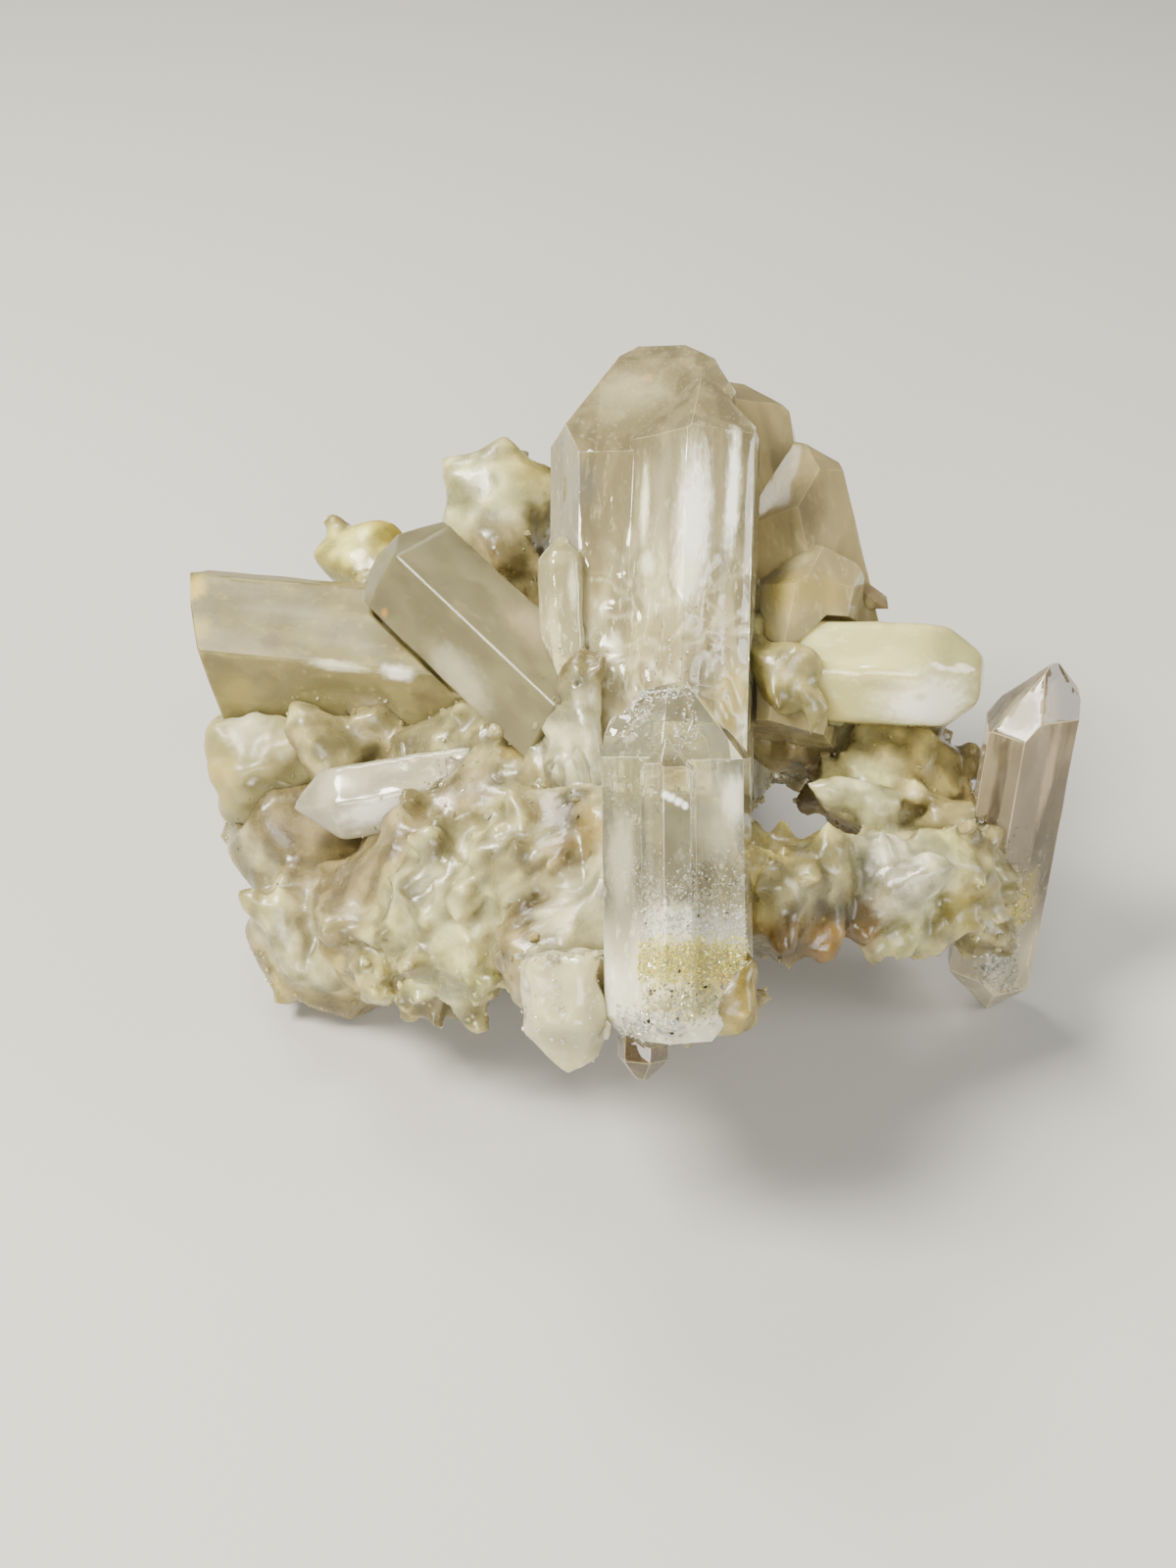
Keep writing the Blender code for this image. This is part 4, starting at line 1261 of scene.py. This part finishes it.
# Rounded lumps in the seams between crystals, by the crystal that they sit on: pixel of the photograph, how
# far out their middle is and how wide they are in millimetres, colour.
SEAM_LUMPS = {
    "lateral_crystal": (
        ((798, 668), 0.1, 4.2, (0.34, 0.29, 0.10)),
        ((815, 684), 0.1, 5.4, (0.40, 0.35, 0.14)),
        ((806, 712), 0.0, 5.4, (0.32, 0.28, 0.10)),
        ((842, 744), 0.0, 4.6, (0.48, 0.44, 0.23)),
    ),
    "rear_right_crystals": (
        ((785, 715), 0.2, 5.0, (0.28, 0.23, 0.07)),
        ((812, 728), 0.3, 5.6, (0.42, 0.38, 0.18)),
        ((775, 600), 0.8, 4.6, (0.42, 0.37, 0.18)),
        ((775, 640), 0.8, 4.8, (0.38, 0.33, 0.14)),
        ((776, 680), 0.8, 4.8, (0.34, 0.29, 0.10)),
    ),
    "front_crystal": (
        ((758, 994), -0.7, 4.0, (0.33, 0.25, 0.06)),
        ((759, 1012), -0.6, 5.2, (0.33, 0.25, 0.06)),
        ((758, 1030), -0.4, 6.6, (0.33, 0.25, 0.055)),
        ((748, 1044), -0.4, 6.2, (0.35, 0.28, 0.07)),
    ),
    "front_white_crystal": (
        ((545, 966), 0.0, 3.0, (0.48, 0.44, 0.27)),
        ((574, 960), 0.0, 3.2, (0.46, 0.42, 0.24)),
        ((606, 970), 0.0, 3.0, (0.52, 0.48, 0.30)),
        ((538, 1002), -0.3, 3.4, (0.58, 0.54, 0.38)),
        ((612, 1042), -0.3, 3.6, (0.56, 0.52, 0.36)),
    ),
    "left_low_crystal": (
        ((466, 776), 0.0, 3.2, (0.34, 0.29, 0.16)),
        ((440, 805), 0.0, 3.0, (0.30, 0.27, 0.15)),
    ),
    "leaning_crystal": (
        ((548, 738), 0.0, 3.0, (0.32, 0.28, 0.15)),
        ((505, 742), 0.0, 2.8, (0.36, 0.31, 0.17)),
    ),
    "left_chunk": (
        ((288, 800), 0.0, 3.2, (0.34, 0.30, 0.15)),
    ),
    "left_block": (
        ((332, 755), 0.0, 3.2, (0.44, 0.40, 0.21)),
        ((290, 742), 0.0, 3.0, (0.48, 0.44, 0.24)),
    ),
    "centre_crystal": (
        ((585, 690), 0.0, 2.6, (0.46, 0.41, 0.22)),
    ),
}
# How many times the skin round the lumps is relaxed.
LUMP_ROUNDS = 44


def make_lumps(rng, chips):
    bank = Grains()
    middles, tones = [], []
    lumps = [(node, *row) for node, rows in SEAM_LUMPS.items() for row in rows]
    for node, pixel, out, width, tone in lumps:
        foot, normal = TREES[node].find_nearest(on_photo(node, pixel))[:2]
        axes = axes_round(normal, 0.8 * width, width, rng)
        middles.append(np.array(foot + normal * out * MM) / MM)
        tones.append(np.array(tone))
        bank.add(rng.choice(chips), middles[-1], axes, tone)
    mesh = skin_round(bank.mesh("seam_lumps"), SKIN_SIZE)
    points, edges = arrays_of(mesh)
    move_to(mesh, relaxed(points, edges, LUMP_ROUNDS))
    points = arrays_of(mesh)[0]
    waves = noise_at(points, 0.7) + 0.5 * noise_at(points, 1.6)
    points += normals_of(mesh) * 0.10 * waves[:, None]
    away = np.linalg.norm(points[:, None] - np.array(middles)[None], axis=2)
    shares = 1.0 / (away + 0.3) ** 4
    shares /= shares.sum(axis=1)[:, None]
    move_to(mesh, held(points) * MM)
    mesh.shade_smooth()
    mottle = np.clip(1.0 + 0.5 * waves, 0.6, 1.4)[:, None]
    paint(mesh, "tone", shares @ np.array(tones) * mottle)
    new_piece("seam_lumps", mesh, crust_material("look_lumps"))


# Grains that climb from the crust onto the crystals' roots, and those at named places of the crystals.

# How many are tried on each square millimetre, and from how near to how far from the crust, in millimetres.
ROOT_GRAINS = 5
ROOT_GAP = 0.32
ROOT_REACH = 1.2

# By crystal: corners of a region of the photograph, colour, sizes from and to in millimetres, how many.
SURFACE_GRAINS = {
    "front_crystal": (
        ((655, 922), (762, 962), (0.86, 0.85, 0.76), (0.08, 0.26), 800),
        ((652, 958), (764, 1003), (0.95, 0.82, 0.17), (0.14, 0.42), 1300),
        ((728, 963), (766, 1000), (0.60, 0.34, 0.06), (0.12, 0.30), 130),
        ((655, 1000), (762, 1045), (0.70, 0.62, 0.28), (0.15, 0.42), 420),
        ((625, 1028), (700, 1062), (0.78, 0.76, 0.62), (0.18, 0.50), 260),
        ((664, 996), (758, 1028), (0.05, 0.045, 0.03), (0.10, 0.30), 70),
        ((645, 870), (764, 930), (0.82, 0.80, 0.68), (0.05, 0.16), 420),
        ((650, 875), (722, 932), (0.55, 0.38, 0.24), (0.05, 0.15), 110),
        ((645, 885), (705, 945), (0.12, 0.10, 0.06), (0.05, 0.13), 70),
        ((624, 868), (652, 902), (0.88, 0.87, 0.78), (0.05, 0.14), 70),
        ((642, 697), (712, 716), (0.90, 0.89, 0.82), (0.06, 0.22), 150),
        ((632, 712), (664, 752), (0.88, 0.87, 0.78), (0.05, 0.18), 90),
        ((688, 716), (712, 778), (0.88, 0.87, 0.78), (0.05, 0.18), 100),
    ),
    "front_white_crystal": (
        ((530, 956), (620, 980), (0.50, 0.46, 0.28), (0.25, 0.70), 110),
        ((540, 980), (615, 1060), (0.48, 0.34, 0.20), (0.05, 0.12), 60),
        ((530, 990), (618, 1080), (0.80, 0.78, 0.66), (0.08, 0.25), 120),
    ),
    "far_right_crystal": (
        ((1012, 880), (1052, 950), (0.46, 0.43, 0.08), (0.10, 0.40), 220),
        ((1000, 940), (1040, 1020), (0.44, 0.42, 0.32), (0.12, 0.45), 260),
        ((1015, 1005), (1040, 1024), (0.50, 0.34, 0.14), (0.12, 0.35), 40),
    ),
    "main_spire": (
        ((618, 630), (745, 745), (0.80, 0.78, 0.62), (0.06, 0.26), 150),
        ((600, 600), (745, 745), (0.34, 0.27, 0.14), (0.06, 0.20), 130),
    ),
}

# Lines of splinters on the front crystal, near white to paint the glints of its chipped edges: pixels of the
# photograph, width in millimetres, colour.
GLINTS = (
    (((655, 700), (648, 715), (640, 735), (650, 752)), 0.16, (0.94, 0.92, 0.86)),
    (((660, 696), (682, 697), (700, 708), (707, 735), (698, 758), (688, 775)), 0.14, (0.92, 0.90, 0.84)),
    (((622, 770), (650, 768), (674, 769)), 0.07, (0.88, 0.86, 0.78)),
    (((674, 769), (672, 790), (672, 806)), 0.06, (0.86, 0.80, 0.62)),
    (((665, 810), (678, 806), (700, 818), (706, 832)), 0.16, (0.96, 0.95, 0.92)),
    (((705, 780), (706, 830), (704, 870)), 0.06, (0.90, 0.87, 0.78)),
    (((712, 782), (730, 779), (755, 774)), 0.09, (0.94, 0.92, 0.86)),
    (((765, 785), (766, 830), (764, 850)), 0.10, (0.94, 0.90, 0.70)),
)


def add_on_surface(bank, chips, rng, node, first, second, tone, sizes, count):
    """Chips half sunk in a crystal's surface, over a region of the photograph."""
    for _ in range(count):
        across = rng.uniform(first[0], second[0])
        down = rng.gauss(0.5, 0.24) * (second[1] - first[1]) + first[1]
        foot, normal = TREES[node].find_nearest(on_photo(node, (across, down)))[:2]
        size = rng.uniform(*sizes)
        axes = axes_round(normal, size * rng.uniform(0.7, 1.1) * MM, size * rng.uniform(0.8, 1.4) * MM, rng)
        chip = rng.choice(chips)
        bank.add(chip, foot - normal * 0.1 * size * MM, axes, np.array(tone) * rng.uniform(0.85, 1.1))


def add_glints(bank, chips, rng, line, width, color):
    """Splinters along a line over the front crystal, which runs through these pixels of the photograph; their
    light colour is a painted glint.
    """
    for first, second in zip(line, line[1:]):
        start, end = on_photo("front_crystal", first), on_photo("front_crystal", second)
        way = end - start
        count = max(1, int(way.length / (0.30 * MM)))
        for number in range(count):
            spot = start + way * (number + rng.random()) / count
            place, normal = TREES["front_crystal"].find_nearest(spot)[:2]
            side = width * rng.uniform(0.5, 1.3) * MM
            along = (way.normalized() + jitter(rng, 0.25)).normalized()
            axes = axes_round(along, rng.uniform(0.25, 0.6) * MM, side, rng)
            chip = rng.choice(chips)
            bank.add(chip, place - normal * 0.25 * side, axes, np.array(color) * rng.uniform(0.9, 1.1))


def make_root_grains(rng, pieces, patches, chips, look):
    bank = Grains()
    for node in CRYSTALS:
        mesh = pieces[node].data
        area = sum(face.area for face in mesh.polygons) / MM**2
        kept = []
        for foot, normal in surface_points(mesh, int(area * ROOT_GRAINS), rng):
            away = TREES["matrix"].find_nearest(foot)[3] / MM
            near = (1.0 - away / ROOT_REACH) ** 2
            if ROOT_GAP < away < ROOT_REACH and rng.random() < near and foot.z > 0.4 * MM:
                kept.append((foot, normal))
        if not kept:
            continue
        for (foot, normal), row in zip(kept, patches.at(spots_of(kept))):
            size = rng.uniform(0.15, 0.42)
            height = size * rng.uniform(0.7, 1.2) * MM
            axes = axes_round(normal, height, size * rng.uniform(0.8, 1.3) * MM, rng)
            chip = rng.choice(chips)
            bank.add(chip, foot - normal * 0.2 * size * MM, axes, row[:3] * rng.uniform(0.95, 1.2))
    for node, rows in SURFACE_GRAINS.items():
        for row in rows:
            add_on_surface(bank, chips, rng, node, *row)
    for line, width, color in GLINTS:
        add_glints(bank, chips, rng, line, width, color)
    new_piece("root_grains", bank.mesh("root_grains"), look)


# Small crystals that stand alone.

# What each grows from, and then a row in the same terms as SINGLE_CRYSTALS.
LOOSE_CRYSTALS = (
    ("rear_right_crystals", ((886, 606), (906, 622), 0.8, 1.5, (0.42, 0.33, 0.20))),
    ("matrix", ((598, 795), (588, 762), 0.9, 0.9, (0.70, 0.67, 0.48))),
    ("matrix", ((572, 800), (567, 778), 0.9, 0.9, (0.66, 0.62, 0.42))),
)


def make_loose_crystals(rng, points):
    bank = Grains()
    for node, row in LOOSE_CRYSTALS:
        bank.add(*single_crystal(node, row, rng, points))
    made = Nodes("look_loose")
    clouds = made.noise(1.2, 1.0, 0.5, None, 3.0)
    creamy = made.ramp(clouds, 0.35, 0.65, 0.0, 0.4)
    made.set("Base Color", made.mix(creamy, made.painted("tone"), shade(CREAM)))
    made.set("Roughness", made.ramp(clouds, 0.3, 0.7, 0.08, 0.25))
    made.set("IOR", QUARTZ_IOR)
    made.set("Transmission Weight", made.ramp(clouds, 0.35, 0.65, 0.60, 0.35))
    made.glow(0.5, (1.6, 1.4, 0.9))
    new_piece("loose_crystals", bank.mesh("loose_crystals"), made.material)


# Veils and flecks inside the clear crystals.

# How many veils each has, and how many flecks are in each.
VEILS = {
    "main_spire": (26, 100),
    "front_crystal": (9, 80),
    "far_right_crystal": (5, 50),
    "rear_right_crystals": (7, 60),
    "leaning_crystal": (4, 50),
    "centre_crystal": (2, 40),
}
VEIL_TONES = ((0.86, 0.85, 0.72), (0.80, 0.77, 0.58), (0.50, 0.41, 0.22))


def is_deep(node, spot, depth):
    """Whether a point is this far or more inside a node."""
    place, normal, _, away = TREES[node].find_nearest(spot)
    return away > depth and (spot - place).dot(normal) < 0.0


def veil_material():
    made = Nodes("look_veils")
    clouds = made.noise(0.4, 1.0, 0.5, None, 2.0)
    creamy = made.ramp(clouds, 0.4, 0.7, 0.0, 0.3)
    made.set("Base Color", made.mix(creamy, made.painted("tone"), shade(CREAM)))
    made.set("Roughness", made.ramp(clouds, 0.3, 0.7, 0.25, 0.5))
    return made.material


def make_veils(rng):
    bank = Grains()
    for node, (veils, flecks) in VEILS.items():
        root, tip = axis_of(node)
        along = (tip - root).normalized()
        low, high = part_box(node)
        made = 0
        while made < veils:
            centre = Vector([rng.uniform(low[axis], high[axis]) for axis in range(3)])
            up = along.dot(centre / MM - root) / (tip - root).length
            if not is_deep(node, centre, 0.8 * MM) or rng.random() < 1.1 * up - 0.1:
                continue
            made += 1
            way = (along + jitter(rng, 0.9)).normalized()
            other = way.cross(any_way(rng)).normalized()
            normal = way.cross(other)
            reach = rng.uniform(0.7, 2.6)
            tone = np.array(rng.choice(VEIL_TONES))
            for _ in range(flecks):
                a, b = rng.gauss(0.0, 0.5) * reach * 1.4, rng.gauss(0.0, 0.5) * reach
                spot = centre + (way * a + other * b) * MM
                spot += normal * (0.5 * noise.noise(Vector((a, b, made)) * 0.8) + rng.gauss(0.0, 0.04)) * MM
                if not is_deep(node, spot, 0.35 * MM):
                    continue
                size = rng.uniform(0.04, 0.16) if rng.random() < 0.9 else rng.uniform(0.16, 0.32)
                axes = axes_round(way, size * rng.uniform(1.0, 1.8) * MM, size * MM, rng)
                bank.add(SPECK, spot, axes, tone * rng.uniform(0.85, 1.1))
    new_piece("veils", bank.mesh("veils"), veil_material())


# The whole scene.

# How many different chips and six-sided points there are, and how many corners a chip begins with.
CHIP_SHAPES = 36
POINT_SHAPES = 16
CHIP_CORNERS = (8, 9, 10)


def main():
    make_camera()
    make_light()
    make_floor()
    rng = random.Random(RANDOM_SEED)
    noise.seed_set(RANDOM_SEED)
    pieces = make_crystals()
    patches = Patches()
    chips = [chip_shape(rng, rng.choice(CHIP_CORNERS)) for _ in range(CHIP_SHAPES)]
    points = [point_shape(rng) for _ in range(POINT_SHAPES)]
    look = grain_material()
    make_crust(rng, patches, chips, points, look)
    make_lumps(rng, chips)
    make_root_grains(rng, pieces, patches, chips, look)
    make_loose_crystals(rng, points)
    make_veils(rng)


main()
